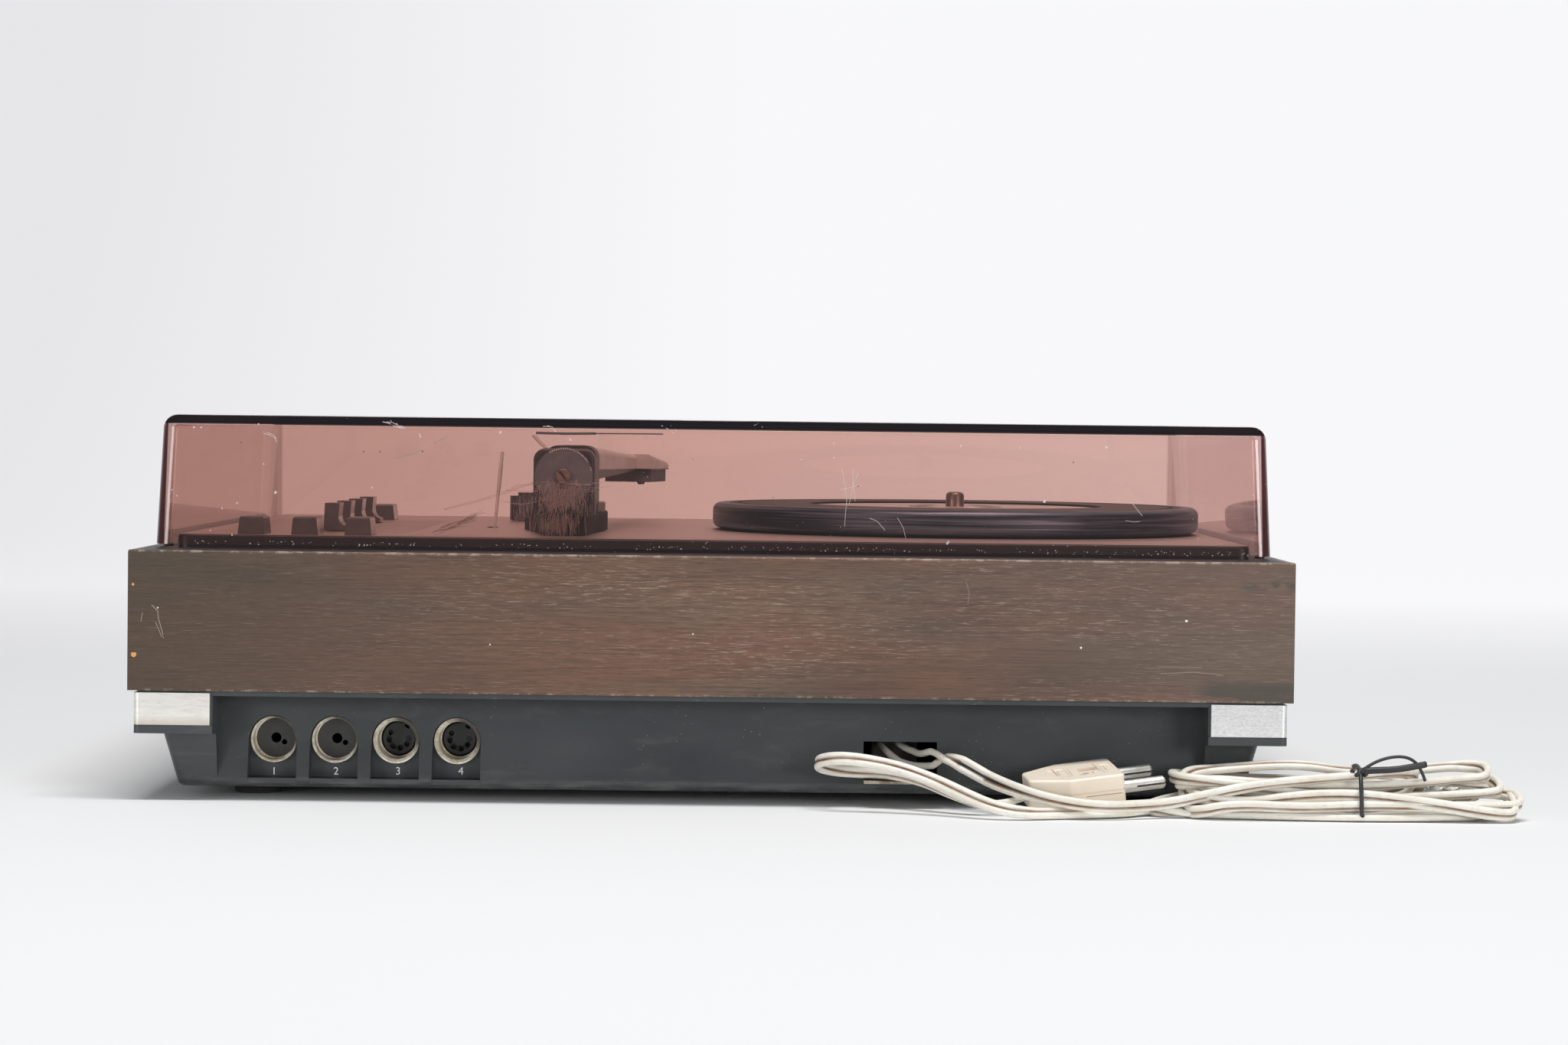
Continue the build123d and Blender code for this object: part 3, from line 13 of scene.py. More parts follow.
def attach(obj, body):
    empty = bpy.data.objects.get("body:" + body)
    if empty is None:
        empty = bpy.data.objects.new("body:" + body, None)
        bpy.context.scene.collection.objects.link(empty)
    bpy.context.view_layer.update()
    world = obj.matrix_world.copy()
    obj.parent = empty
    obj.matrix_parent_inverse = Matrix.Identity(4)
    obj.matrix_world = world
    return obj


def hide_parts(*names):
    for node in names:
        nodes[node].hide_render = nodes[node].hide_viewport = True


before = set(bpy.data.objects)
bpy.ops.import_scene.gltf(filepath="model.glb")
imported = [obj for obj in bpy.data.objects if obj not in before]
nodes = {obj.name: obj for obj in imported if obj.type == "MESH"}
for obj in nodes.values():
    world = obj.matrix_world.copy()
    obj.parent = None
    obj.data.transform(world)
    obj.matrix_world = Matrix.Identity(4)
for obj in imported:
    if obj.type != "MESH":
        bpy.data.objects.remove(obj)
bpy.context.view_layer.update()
scene = bpy.context.scene
scene.view_settings.view_transform = "Standard"

MM = 0.001
BODY = "plinth"
REAR = 162.5  # the rear face of the plinth, in mm
PHOTO_WIDTH, PHOTO_HEIGHT = 2048, 1365  # pixels, in which small marks are placed
PHOTO_SLOPE = 0.012  # how far the photograph's level lines fall to the right

# places in the row frame, in metres
HALF_WIDTH = 0.2015
BOARD_LOW, BOARD_HIGH = 0.0386, 0.0872
COVER_LOW, COVER_HIGH = 0.0884, 0.1341
DECK_TOP = 0.092
SOCKET_X, SOCKET_Z = 0.0891, 0.0205  # the middle of the last socket
SOCKET_PITCH = 0.02145
PIN_CIRCLE = 0.0035


def rear(x, depth, z):
    """A point across the rear, in from the plinth's rear face and up, all in mm, as a place in metres."""
    return Vector((x, REAR - depth, z)) * MM


def linked(name, data):
    """A new object, linked into the scene."""
    thing = bpy.data.objects.new(name, data)
    scene.collection.objects.link(thing)
    return thing


def built(name, vertices, faces):
    """A new mesh object."""
    mesh = bpy.data.meshes.new(name)
    mesh.from_pydata(vertices, [], faces)
    mesh.update()
    return linked(name, mesh)


def dress(piece, look, body):
    """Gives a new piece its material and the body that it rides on."""
    piece.data.materials.append(look.material)
    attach(piece, body)


def turned(across, up, angle):
    """The way at an angle from one way towards another."""
    return across * math.cos(angle) + up * math.sin(angle)


def run_at(points, index):
    """The way from the point before one of a line to the point after it."""
    return points[min(index + 1, len(points) - 1)] - points[max(index - 1, 0)]


# ---- camera ----
def add_camera():
    """The photograph's view: a long lens a little above the cover's foot, looking at the rear."""
    yaw, pitch, roll = math.radians(0.218), math.radians(1.601), math.radians(0.68)
    forward = Vector((-math.sin(yaw) * math.cos(pitch), -math.cos(yaw) * math.cos(pitch), -math.sin(pitch)))
    level = forward.cross(Vector((0, 0, 1))).normalized()
    upright = level.cross(forward)
    right, up = turned(level, upright, roll), turned(upright, level, -roll)
    data = bpy.data.cameras.new("camera")
    data.sensor_width = 36
    data.lens = 79.9
    camera = linked("camera", data)
    turn = Matrix((right, up, -forward)).transposed().to_4x4()
    camera.matrix_world = Matrix.Translation(rear(-20, -1200, 132.7)) @ turn
    scene.camera = camera


add_camera()


# ---- material tools ----
class Look:
    """A material built up node by node round one shader, with textures in the row frame's metres."""

    def __init__(self, name, color, roughness, **sockets):
        self.material = bpy.data.materials.new(name)
        self.material.use_nodes = True
        self.nodes = self.material.node_tree.nodes
        self.links = self.material.node_tree.links
        self.shader = self.nodes["Principled BSDF"]
        self.place = self.node("TexCoord").outputs["Object"]
        self.x, self.y, self.z = self.node("SeparateXYZ", {"Vector": self.place}).outputs
        self.set(Base_Color=color, Roughness=roughness, **sockets)

    def set(self, **sockets):
        """Sets or links the shader's sockets, each named with _ for a space."""
        for socket, value in sockets.items():
            self.feed(self.shader.inputs[socket.replace("_", " ")], value)

    def node(self, kind, inputs=(), **settings):
        node = self.nodes.new("ShaderNode" + kind)
        for name, value in settings.items():
            setattr(node, name, value)
        for socket, value in dict(inputs).items():
            self.feed(node.inputs[socket], value)
        return node

    def feed(self, socket, value):
        if isinstance(value, bpy.types.NodeSocket):
            self.links.new(value, socket)
        elif hasattr(socket.default_value, "__len__") and len(value) == 3 and len(socket.default_value) == 4:
            socket.default_value = (*value, 1)
        else:
            socket.default_value = value

    def stretched(self, stretch, shift):
        """The place, stretched along each axis, or by one number along all three."""
        stretch = stretch if isinstance(stretch, tuple) else (stretch,) * 3
        mapping = self.node("Mapping", {"Vector": self.place, "Scale": stretch, "Location": shift})
        return mapping.outputs["Vector"]

    def noise(self, stretch, detail=4, roughness=0.55, shift=(0, 0, 0), distortion=0):
        """Noise whose grains are 1 over the stretch long, along each axis, in metres."""
        inputs = {"Vector": self.stretched(stretch, shift), "Scale": 1, "Detail": detail}
        inputs |= {"Roughness": roughness, "Distortion": distortion}
        return self.node("TexNoise", inputs).outputs["Fac"]

    def cells(self, stretch, shift):
        """How far away the nearest of many scattered points is."""
        inputs = {"Vector": self.stretched(stretch, shift), "Scale": 1}
        return self.node("TexVoronoi", inputs).outputs["Distance"]

    def ramp(self, value, low, high, to_low=0, to_high=1):
        """Straight line from to_low at low to to_high at high, held flat outside."""
        inputs = {"Value": value, "From Min": low, "From Max": high, "To Min": to_low, "To Max": to_high}
        return self.node("MapRange", inputs).outputs["Result"]

    def near(self, value, middle, half, soft):
        """1 within half of a middle value, falling to 0 over soft."""
        return self.ramp(self.math("ABSOLUTE", self.less(value, middle)), half + soft, half)

    def math(self, operation, a, b=0):
        return self.node("Math", {0: a, 1: b}, operation=operation).outputs[0]

    def both(self, a, b):
        return self.math("MULTIPLY", a, b)

    def less(self, a, b):
        return self.math("SUBTRACT", a, b)

    def most(self, a, b):
        return self.math("MAXIMUM", a, b)

    def mix(self, share, a, b):
        return self.node("Mix", {0: share, 6: a, 7: b}, data_type="RGBA").outputs[2]

    def blend(self, share, a, b):
        """A share of one shader node over another."""
        return self.node("MixShader", {0: share, 1: a.outputs[0], 2: b.outputs[0]})

    def surface(self, shader):
        self.links.new(shader.outputs[0], self.nodes["Material Output"].inputs["Surface"])

    def color(self, share, a, b):
        """Makes the base colour a mix of two."""
        self.set(Base_Color=self.mix(share, a, b))

    def over(self, share, color):
        """Lays a share of a colour over the linked base colour."""
        self.color(share, self.shader.inputs["Base Color"].links[0].from_socket, color)

    def dust(self, tint, amount, grain, seed=0):
        """Lays scattered specks of dust over the base colour."""
        specks = self.ramp(self.cells(grain, (seed, 3.1, 7.7)), 0.1, 0.04)
        patches = self.ramp(self.noise(60, 3, shift=(seed, 0, 0)), 0.48, 0.68)
        self.over(self.both(self.both(specks, patches), amount), tint)

    def roughness(self, value, low, high):
        """Makes the roughness go from low to high with a noise."""
        self.set(Roughness=self.ramp(value, 0.3, 0.7, low, high))

    def bump(self, height, distance, strength):
        """Raises the surface by a height of up to a distance in mm, on top of any bump before."""
        inputs = {"Height": height, "Distance": distance * MM, "Strength": strength}
        before = self.shader.inputs["Normal"]
        if before.is_linked:
            inputs["Normal"] = before.links[0].from_socket
        self.set(Normal=self.node("Bump", inputs).outputs["Normal"])

    def on(self, *names):
        """Makes this the only material of CAD nodes."""
        for name in names:
            mesh = nodes[name].data
            mesh.materials.clear()
            mesh.materials.append(self.material)
            for polygon in mesh.polygons:
                polygon.material_index = 0


# ---- wood ----
def wood(name, along, *boards):
    """Worn dark veneer, its grain along X or Y, with pale scratches and dark stains, painted shade darkening
    it towards +X, painted light paling it towards -X, and painted shade on its top face back from its outer
    edges.
    """

    def laid(length, width):
        return (1 / length, 1 / width, 1 / width) if along == "X" else (1 / width, 1 / length, 1 / width)

    look = Look(name, (0.1, 0.07, 0.055), 0.5)
    tone = look.noise(laid(0.16, 0.035), 4, 0.6, (2, 1, 5))
    look.color(look.ramp(tone, 0.3, 0.72), (0.086, 0.055, 0.038), (0.182, 0.112, 0.075))
    red = look.ramp(look.noise(laid(0.14, 0.03), 2, 0.5, (0.4, 3, 1)), 0.38, 0.56)
    look.over(look.both(red, 0.65), (0.192, 0.086, 0.052))
    streak = look.noise(laid(0.035, 0.0008), 5, 0.65, distortion=0.4)
    look.over(look.ramp(streak, 0.44, 0.66, 0, 0.5), (0.045, 0.029, 0.021))
    fine = look.noise(laid(0.0065, 0.00034), 3, 0.65, (5, 5, 5), 0.6)
    look.over(look.ramp(fine, 0.48, 0.34, 0, 0.45), (0.032, 0.021, 0.016))
    worn = look.noise(laid(0.09, 0.02), 3, 0.55, (9, 0, 2))
    scratch = look.both(look.ramp(fine, 0.585, 0.64), look.ramp(worn, 0.36, 0.6))
    look.over(look.both(scratch, 0.52), (0.46, 0.38, 0.31))
    stain = look.ramp(look.noise((60, 60, 200), 4, 0.6, (6.3, 0, 0.4), 0.4), 0.43, 0.53)
    upper = look.both(look.near(look.x, -0.194, 0.006, 0.006), look.near(look.z, 0.0797, 0.0015, 0.002))
    lower = look.both(look.near(look.x, -0.187, 0.012, 0.008), look.ramp(look.z, 0.047, 0.043))
    stained = look.both(stain, look.math("ADD", upper, lower))
    look.over(look.math("MINIMUM", look.both(stained, 1.2), 0.85), (0.022, 0.028, 0.024))
    # painted shade darkens the boards towards +X, and the next line's painted light pales them towards -X, as
    # the light falls from -X
    look.over(look.ramp(look.x, 0.02, 0.19, 0, 0.72), (0.052, 0.038, 0.024))
    look.over(look.ramp(look.x, -0.06, -0.18, 0, 0.35), (0.15, 0.115, 0.095))
    edge_low = look.ramp(look.z, BOARD_LOW + 1.0 * MM, BOARD_LOW)
    edge_high = look.ramp(look.z, BOARD_HIGH - 1.1 * MM, BOARD_HIGH - 0.3 * MM)
    chips = look.ramp(look.noise(260, 4, 0.7), 0.5, 0.6)
    edges = look.both(look.math("ADD", edge_low, edge_high), chips)
    look.over(look.both(edges, 0.55), (0.42, 0.34, 0.27))
    deeper = HALF_WIDTH - REAR * MM  # added to y, it makes the rear face count as the ends do
    out = look.most(look.math("ABSOLUTE", look.x), look.ramp(look.y, -1, 1, deeper - 1, deeper + 1))
    # painted shade: the top face back from the outer edges is painted nearly black, as the shade under the
    # cover's foot
    top = look.ramp(look.z, BOARD_HIGH - 0.08 * MM, BOARD_HIGH - 0.04 * MM)
    top = look.both(top, look.ramp(out, HALF_WIDTH - 2 * MM, HALF_WIDTH - 3 * MM))
    look.over(top, (0.012, 0.01, 0.011))
    look.roughness(tone, 0.42, 0.6)
    look.bump(streak, 0.3, 0.6)
    look.bump(fine, 0.1, 0.7)
    look.on(*boards)


wood("veneer_x", "X", "wood_rear", "wood_front")
wood("veneer_y", "Y", "wood_left", "wood_right")
Look("raw_block", (0.42, 0.3, 0.18), 0.8).on("corner_blocks")


# ---- metal ----
def aluminium_strip():
    """Bare aluminium, finely brushed along its length, with brown pits, and yellowed at its left end."""
    look = Look("aluminium_strip", (0.74, 0.75, 0.77), 0.35, Metallic=0.6)
    lines = look.noise((30, 30, 3800), 3, 0.6)
    grain = look.noise((900, 900, 2600), 3, 0.65, (5, 2, 0))
    look.color(look.ramp(grain, 0.35, 0.65), (0.7, 0.7, 0.7), (0.9, 0.9, 0.9))
    look.over(look.ramp(lines, 0.6, 0.75, 0, 0.4), (0.45, 0.43, 0.42))
    spots = look.ramp(look.noise(420, 4, 0.6, (3, 0, 0)), 0.66, 0.72)
    look.over(look.both(spots, 0.6), (0.3, 0.2, 0.16))
    aged = look.mix(look.ramp(look.z, 0.03, 0.0266), (0.93, 0.9, 0.84), (0.62, 0.52, 0.4))
    mottle = look.ramp(look.noise((120, 120, 700), 5, 0.7, (2, 9, 0), 0.5), 0.45, 0.62, 0, 0.35)
    look.over(look.ramp(look.x, 0.15, 0.16, 0, 0.75), look.mix(mottle, aged, (0.62, 0.57, 0.48)))
    look.roughness(grain, 0.38, 0.52)
    look.bump(grain, 0.03, 0.5)
    look.on("aluminium_trim")


def brushed_deck():
    """Brushed deck plates, nearly black on their edges, where the cover's foot shades them."""
    look = Look("brushed_deck", (0.46, 0.44, 0.43), 0.4, Metallic=0.75)
    lines = look.noise((7, 1500, 1500), 3, 0.6)
    look.color(look.ramp(lines, 0.3, 0.7), (0.5, 0.43, 0.41), (0.65, 0.57, 0.545))
    side = look.ramp(look.z, DECK_TOP - 0.05 * MM, DECK_TOP - 0.2 * MM)
    look.over(side, (0.026, 0.02, 0.024))
    look.dust((0.62, 0.58, 0.56), 0.7, 420, 5)
    look.set(Metallic=look.ramp(side, 0, 1, 0.75, 0))
    look.bump(lines, 0.05, 0.6)
    look.on("deck_plate", "control_panel")


def disc_metal():
    """The platter's bare inner disc, turned and dusty."""
    look = Look("disc_metal", (0.6, 0.57, 0.56), 0.4, Metallic=0.6)
    turned = look.noise((2200, 2200, 200), 2, 0.5)
    look.color(look.ramp(turned, 0.35, 0.65), (0.6, 0.565, 0.56), (0.7, 0.665, 0.66))
    look.dust((0.25, 0.22, 0.22), 0.6, 420, 5)
    look.on("platter_disc")


def plain_metal(name, color, roughness, metallic, *names):
    """Metal with clouds of wear."""
    look = Look(name, color, roughness, Metallic=metallic)
    wear = look.noise(260, 4, 0.6)
    look.color(look.ramp(wear, 0.35, 0.7), color, tuple(0.6 * c for c in color))
    look.roughness(wear, roughness, roughness + 0.18)
    look.bump(wear, 0.03, 0.4)
    look.on(*names)


def lever_chrome():
    """Bright plated rod with a brown clouding."""
    look = Look("lever_chrome", (0.98, 0.96, 0.94), 0.25, Specular_IOR_Level=1.0)
    wear = look.noise(400, 3, 0.6)
    look.color(look.ramp(wear, 0.45, 0.7), (0.98, 0.96, 0.94), (0.9, 0.84, 0.8))
    look.roughness(wear, 0.2, 0.4)
    look.on("cue_lever")


def pin_metal():
    """Smooth nickel plated pins, a little tarnished."""
    look = Look("pin_metal", (0.7, 0.68, 0.64), 0.24, Metallic=0.75)
    cloud = look.noise(160, 3, 0.55)
    look.color(look.ramp(cloud, 0.4, 0.7), (0.74, 0.72, 0.68), (0.52, 0.49, 0.44))
    look.roughness(cloud, 0.42, 0.52)
    look.on("plug_pins")


def socket_place(look):
    """How far a point lies across and up from the middle of the socket it belongs to."""
    steps = look.math("DIVIDE", look.less(look.x, SOCKET_X), SOCKET_PITCH)
    across = look.both(look.less(steps, look.math("ROUND", steps)), SOCKET_PITCH)
    return across, look.less(look.z, SOCKET_Z)


def cup_metal():
    """Yellow passivated steel, dull with brown dirt here and there, and painted shade nearly black on the
    upper side of each cup towards -X.
    """
    look = Look("cup_metal", (0.62, 0.55, 0.38), 0.35, Metallic=0.2)
    blotch = look.noise(330, 5, 0.65)
    look.color(look.ramp(blotch, 0.4, 0.62), (0.92, 0.87, 0.74), (0.62, 0.53, 0.38))
    across, up = socket_place(look)
    # painted shade: each cup's upper side towards -X is painted nearly black
    shade_slant = look.less(look.both(up, 0.64), look.both(across, 0.77))
    look.over(look.ramp(shade_slant, 0.0008, 0.0055, 0, 0.9), (0.045, 0.04, 0.036))
    look.roughness(blotch, 0.35, 0.6)
    look.bump(blotch, 0.04, 0.4)
    look.on("speaker_shells", "din_shells")


aluminium_strip()
brushed_deck()
disc_metal()
plain_metal("spindle_steel", (0.33, 0.27, 0.25), 0.3, 0.8, "spindle")
lever_chrome()
plain_metal("screw_brown", (0.3, 0.23, 0.2), 0.45, 0.5, "balance_screw")
steel_nodes = ("foot_screws", "tub_screws", "key_switches", "motor", "motor_pulley")
plain_metal("steel", (0.45, 0.44, 0.43), 0.4, 0.9, *steel_nodes)
plain_metal("steel_parts", (0.4, 0.4, 0.4), 0.4, 0.9, "slide_pots", "turntable_bearings", "heat_sink")
plain_metal("core_iron", (0.1, 0.09, 0.085), 0.6, 0.4, "transformer_core")
pin_metal()
cup_metal()


# ---- plastics ----
def tub_plastic():
    """Dark grey moulded plastic, dusty and scuffed along its lower edge."""
    look = Look("tub_plastic", (0.035, 0.038, 0.04), 0.42)
    cloud = look.noise((14, 14, 30), 4, 0.6)
    look.color(look.ramp(cloud, 0.3, 0.7), (0.042, 0.047, 0.05), (0.062, 0.068, 0.071))
    scuffs = look.ramp(look.noise((50, 50, 300), 5, 0.7, (4, 4, 4)), 0.44, 0.62)
    scuffs = look.both(look.ramp(look.z, 0.0085, 0.0045), scuffs)
    look.over(look.both(scuffs, 0.65), (0.17, 0.17, 0.16))
    smear = look.ramp(look.noise((35, 35, 120), 4, 0.6, (8, 1, 3), 0.5), 0.56, 0.75)
    look.over(look.both(smear, 0.28), (0.13, 0.135, 0.13))
    look.dust((0.5, 0.5, 0.48), 0.8, 480)
    look.roughness(cloud, 0.36, 0.52)
    look.bump(look.noise(2400, 2, 0.5), 0.02, 0.5)
    look.on("bottom_tub")


def moulded(name, color, roughness, speck, *names):
    """Moulded plastic or rubber with an amount of dust specks."""
    look = Look(name, color, roughness)
    cloud = look.noise(120, 4, 0.6)
    look.color(look.ramp(cloud, 0.3, 0.7), color, tuple(0.7 * c for c in color))
    look.dust((0.45, 0.42, 0.38), speck, 700, 2)
    look.roughness(cloud, roughness, roughness + 0.15)
    look.bump(look.noise(1500, 2), 0.02, 0.4)
    look.on(*names)


def insert_plastic():
    """Black inserts, dirty, with white specks. Their depths, and the pin holes of two, are painted nearly
    black as painted shade.
    """
    look = Look("insert_black", (0.035, 0.034, 0.033), 0.5)
    across, up = socket_place(look)
    speaker = look.ramp(look.x, 0.12, 0.121)
    look.color(speaker, (0.04, 0.039, 0.04), (0.056, 0.054, 0.052))
    # painted shade: the inserts are painted nearly black below their faces and in the DIN pin holes
    dark = look.ramp(look.y, 0.1338, 0.1336)
    for step in range(5):
        angle = math.radians(180 + 45 * step)
        beside = look.less(across, PIN_CIRCLE * math.cos(angle))
        above = look.less(up, PIN_CIRCLE * math.sin(angle))
        away = look.math("SQRT", look.math("ADD", look.both(beside, beside), look.both(above, above)))
        dark = look.most(dark, look.ramp(away, 0.00125, 0.00105))
    dark = look.both(dark, look.less(1, speaker))
    dark = look.most(dark, look.both(speaker, look.ramp(look.y, 0.1368, 0.1366)))
    look.over(dark, (0.004, 0.004, 0.004))
    look.dust((0.66, 0.62, 0.58), 0.9, 640, 2)
    look.roughness(look.noise(500, 4, 0.6), 0.4, 0.65)
    look.on("speaker_inserts", "din_inserts")


def clamp_plastic():
    """The cord's clamp, cream coloured where its outer edge shows."""
    look = Look("clamp_grey", (0.2, 0.18, 0.16), 0.6)
    cloud = look.noise((300, 60, 300), 4, 0.6)
    cream = look.mix(look.ramp(cloud, 0.4, 0.6), (0.42, 0.37, 0.28), (0.2, 0.15, 0.1))
    look.color(look.ramp(look.y, 0.1545, 0.156), (0.1, 0.09, 0.08), cream)
    look.bump(cloud, 0.05, 0.5)
    look.on("cable_clamp")


def control_plastic():
    """Black keys, sliders and knob with a chrome strip down the side away from the arm."""
    look = Look("key_black", (0.03, 0.029, 0.03), 0.3)
    normal = look.node("NewGeometry").outputs["True Normal"]
    sideways = look.node("SeparateXYZ", {"Vector": normal}).outputs["X"]
    side = look.both(look.ramp(sideways, -0.8, -0.97), 0.7)
    cloud = look.noise(150, 4, 0.6)
    look.color(look.ramp(cloud, 0.3, 0.7), (0.15, 0.146, 0.16), (0.1, 0.097, 0.108))
    look.dust((0.5, 0.46, 0.44), 0.8, 700, 2)
    look.over(side, (0.3, 0.28, 0.28))
    look.set(Metallic=side, Roughness=look.ramp(side, 0, 1, 0.32, 0.15))
    look.on("key_1", "key_2", "key_3", "mains_key", "speed_knob")
    look.on("slider_1", "slider_2", "slider_3", "slider_4")


def arm_plastic():
    """Pale grey arm, black on its underside."""
    look = Look("arm_light", (0.6, 0.56, 0.56), 0.4)
    line = look.ramp(look.y, -0.09, 0.03, 0.1139, 0.115)
    cloud = look.noise(120, 4, 0.6)
    look.color(look.ramp(cloud, 0.3, 0.7), (0.8, 0.74, 0.74), (0.65, 0.6, 0.605))
    look.over(look.ramp(look.less(look.z, line), 0.0002, -0.0002), (0.02, 0.018, 0.02))
    look.dust((0.62, 0.57, 0.54), 0.7, 700, 2)
    look.on("arm_beam", "head_shell", "finger_lift")


def platter_looks():
    """Dark ribbed rim with streaks of light round it, and a dark rubber ring with a painted highlight along
    its top edge.
    """
    rim = Look("platter_metal", (0.1, 0.1, 0.12), 0.4, Metallic=0.5)
    bands = rim.ramp(rim.noise((14, 14, 900), 3, 0.6), 0.45, 0.62)
    rim.color(bands, (0.034, 0.045, 0.068), (0.15, 0.185, 0.25))
    rim.dust((0.6, 0.56, 0.56), 0.7, 420, 5)
    rim.bump(rim.noise((20, 20, 1400), 2), 0.1, 0.5)
    rim.on("platter")
    mat = Look("platter_rubber", (0.03, 0.028, 0.03), 0.6)
    # painted highlight: the mat's top edge is painted paler
    top_highlight = mat.ramp(mat.z, 0.10215, 0.1023)
    mat.color(mat.both(top_highlight, 0.4), (0.032, 0.03, 0.032), (0.16, 0.14, 0.14))
    mat.dust((0.4, 0.36, 0.34), 0.7, 600)
    mat.on("platter_mat")


def plug_plastic():
    """Pale peach moulded plastic with a little grime."""
    look = Look("plug_plastic", (0.9, 0.8, 0.68), 0.36, Subsurface_Weight=0.08)
    look.set(Subsurface_Radius=(0.004, 0.002, 0.001))
    cloud = look.noise(120, 4, 0.6)
    look.color(look.ramp(cloud, 0.3, 0.7), (0.92, 0.825, 0.7), (0.89, 0.78, 0.64))
    grime = look.ramp(look.noise(700, 5, 0.7, (1, 7, 2)), 0.64, 0.76)
    look.over(look.both(grime, 0.3), (0.5, 0.36, 0.25))
    look.bump(cloud, 0.04, 0.4)
    look.on("plug_body")


tub_plastic()
insert_plastic()
clamp_plastic()
control_plastic()
moulded("rest_black", (0.03, 0.029, 0.03), 0.35, 0.4, "arm_rest")
moulded("cartridge_black", (0.12, 0.117, 0.135), 0.5, 0.4, "cartridge")
moulded("arm_black", (0.022, 0.023, 0.028), 0.7, 0.9, "arm_base")
moulded("yoke_grey", (0.06, 0.058, 0.062), 0.35, 0.9, "arm_yoke")
moulded("stop_grey", (0.42, 0.38, 0.36), 0.45, 0.5, "arm_stop")
moulded("weight_dark", (0.07, 0.073, 0.088), 0.35, 0.9, "counterweight")
moulded("wheel_grey", (0.18, 0.195, 0.225), 0.35, 0.9, "balance_wheel")
arm_plastic()
moulded("rubber_black", (0.035, 0.034, 0.034), 0.75, 0.5, "feet", "cover_pads", "idler_wheel")
moulded("board_brown", (0.28, 0.17, 0.07), 0.5, 0.4, "amplifier_board")
moulded("coil_tape", (0.5, 0.34, 0.1), 0.5, 0.4, "transformer_coil")
platter_looks()
plug_plastic()


def cover_acrylic():
    """Rose tinted acrylic as a thin sheet that doesn't bend light, scuffed and dusty.

    It is paler to the right and deeper in its two sides, and its corners and the band round its top are
    painted nearly black, a painted dark reflection of its thick edges."""
    look = Look("cover_acrylic", (1, 1, 1), 0.03)
    out = look.math("ABSOLUTE", look.x)
    side = look.less(look.ramp(look.z, COVER_LOW, COVER_HIGH, 0.1966, 0.1945), out)
    width = look.ramp(look.z, COVER_LOW, COVER_HIGH, 0.0034, 0.0022)
    corner = look.ramp(look.less(side, width), 0.0002, -0.0002)
    ends = look.most(look.ramp(look.y, 0.1325, 0.1335), look.ramp(look.y, -0.1325, -0.1335, 0, 0.3))
    rim = look.ramp(look.math("ABSOLUTE", look.y), 0.1338, 0.1342)
    rim = look.both(look.ramp(look.z, 0.1308, 0.1311), rim)
    across = look.ramp(look.x, 0.15, -0.15)
    tint = look.mix(across, (0.879, 0.752, 0.718), (0.927, 0.824, 0.797))
    sides = look.mix(across, (0.72, 0.59, 0.558), (0.785, 0.658, 0.645))
    tint = look.mix(look.ramp(out, 0.1903, 0.191), tint, sides)
    # painted reflection: the corners of the rear and front walls and the band round the top are tinted nearly
    # black
    tint = look.mix(look.most(look.both(corner, ends), rim), tint, (0.1, 0.03, 0.035))
    clear = look.node("BsdfTransparent", {"Color": tint})
    scuff = look.noise((700, 30, 90), 5, 0.7, (2, 2, 2), 0.6)
    blur = look.most(look.ramp(scuff, 0.66, 0.8, 0.03, 0.35), look.both(rim, 0.45))
    mirror = look.node("BsdfGlossy", {"Color": (1, 1, 1), "Roughness": blur})
    inside = look.node("NewGeometry").outputs["Backfacing"]
    gloss = look.node("Fresnel", {"IOR": look.ramp(inside, 0, 1, 1.49, 1 / 1.49)}).outputs[0]
    sheet = look.blend(look.both(gloss, look.ramp(rim, 0, 1, 1, 0.3)), clear, mirror)
    black = look.node("BsdfDiffuse", {"Color": (0.014, 0.012, 0.014), "Roughness": 0.5})
    # painted reflection: a near-black diffuse layer over the band round the top
    edged = look.blend(look.both(rim, 0.93), sheet, black)
    specks = look.ramp(look.cells(430, (1, 8, 2)), 0.085, 0.05)
    patches = look.ramp(look.noise(25, 3, 0.6, (7, 7, 0)), 0.52, 0.66)
    foot = look.both(look.ramp(look.z, 0.0894, 0.0889), look.ramp(look.noise(60, 2), 0.4, 0.6))
    fine = look.ramp(look.cells(620, (3, 3, 1)), 0.2, 0.12)
    specks = look.most(look.both(specks, patches), look.both(fine, foot))
    powder = look.node("BsdfDiffuse", {"Color": (0.75, 0.72, 0.7), "Roughness": 0.5})
    look.surface(look.blend(look.both(specks, 0.75), edged, powder))
    look.on("dust_cover")


cover_acrylic()


# ---- cord ----
CONDUCTOR = 1.2  # radius of one of the two conductors, in mm
PITCH = 1.1  # from the cord's centre line to a conductor's, in mm
TIE_X = -222

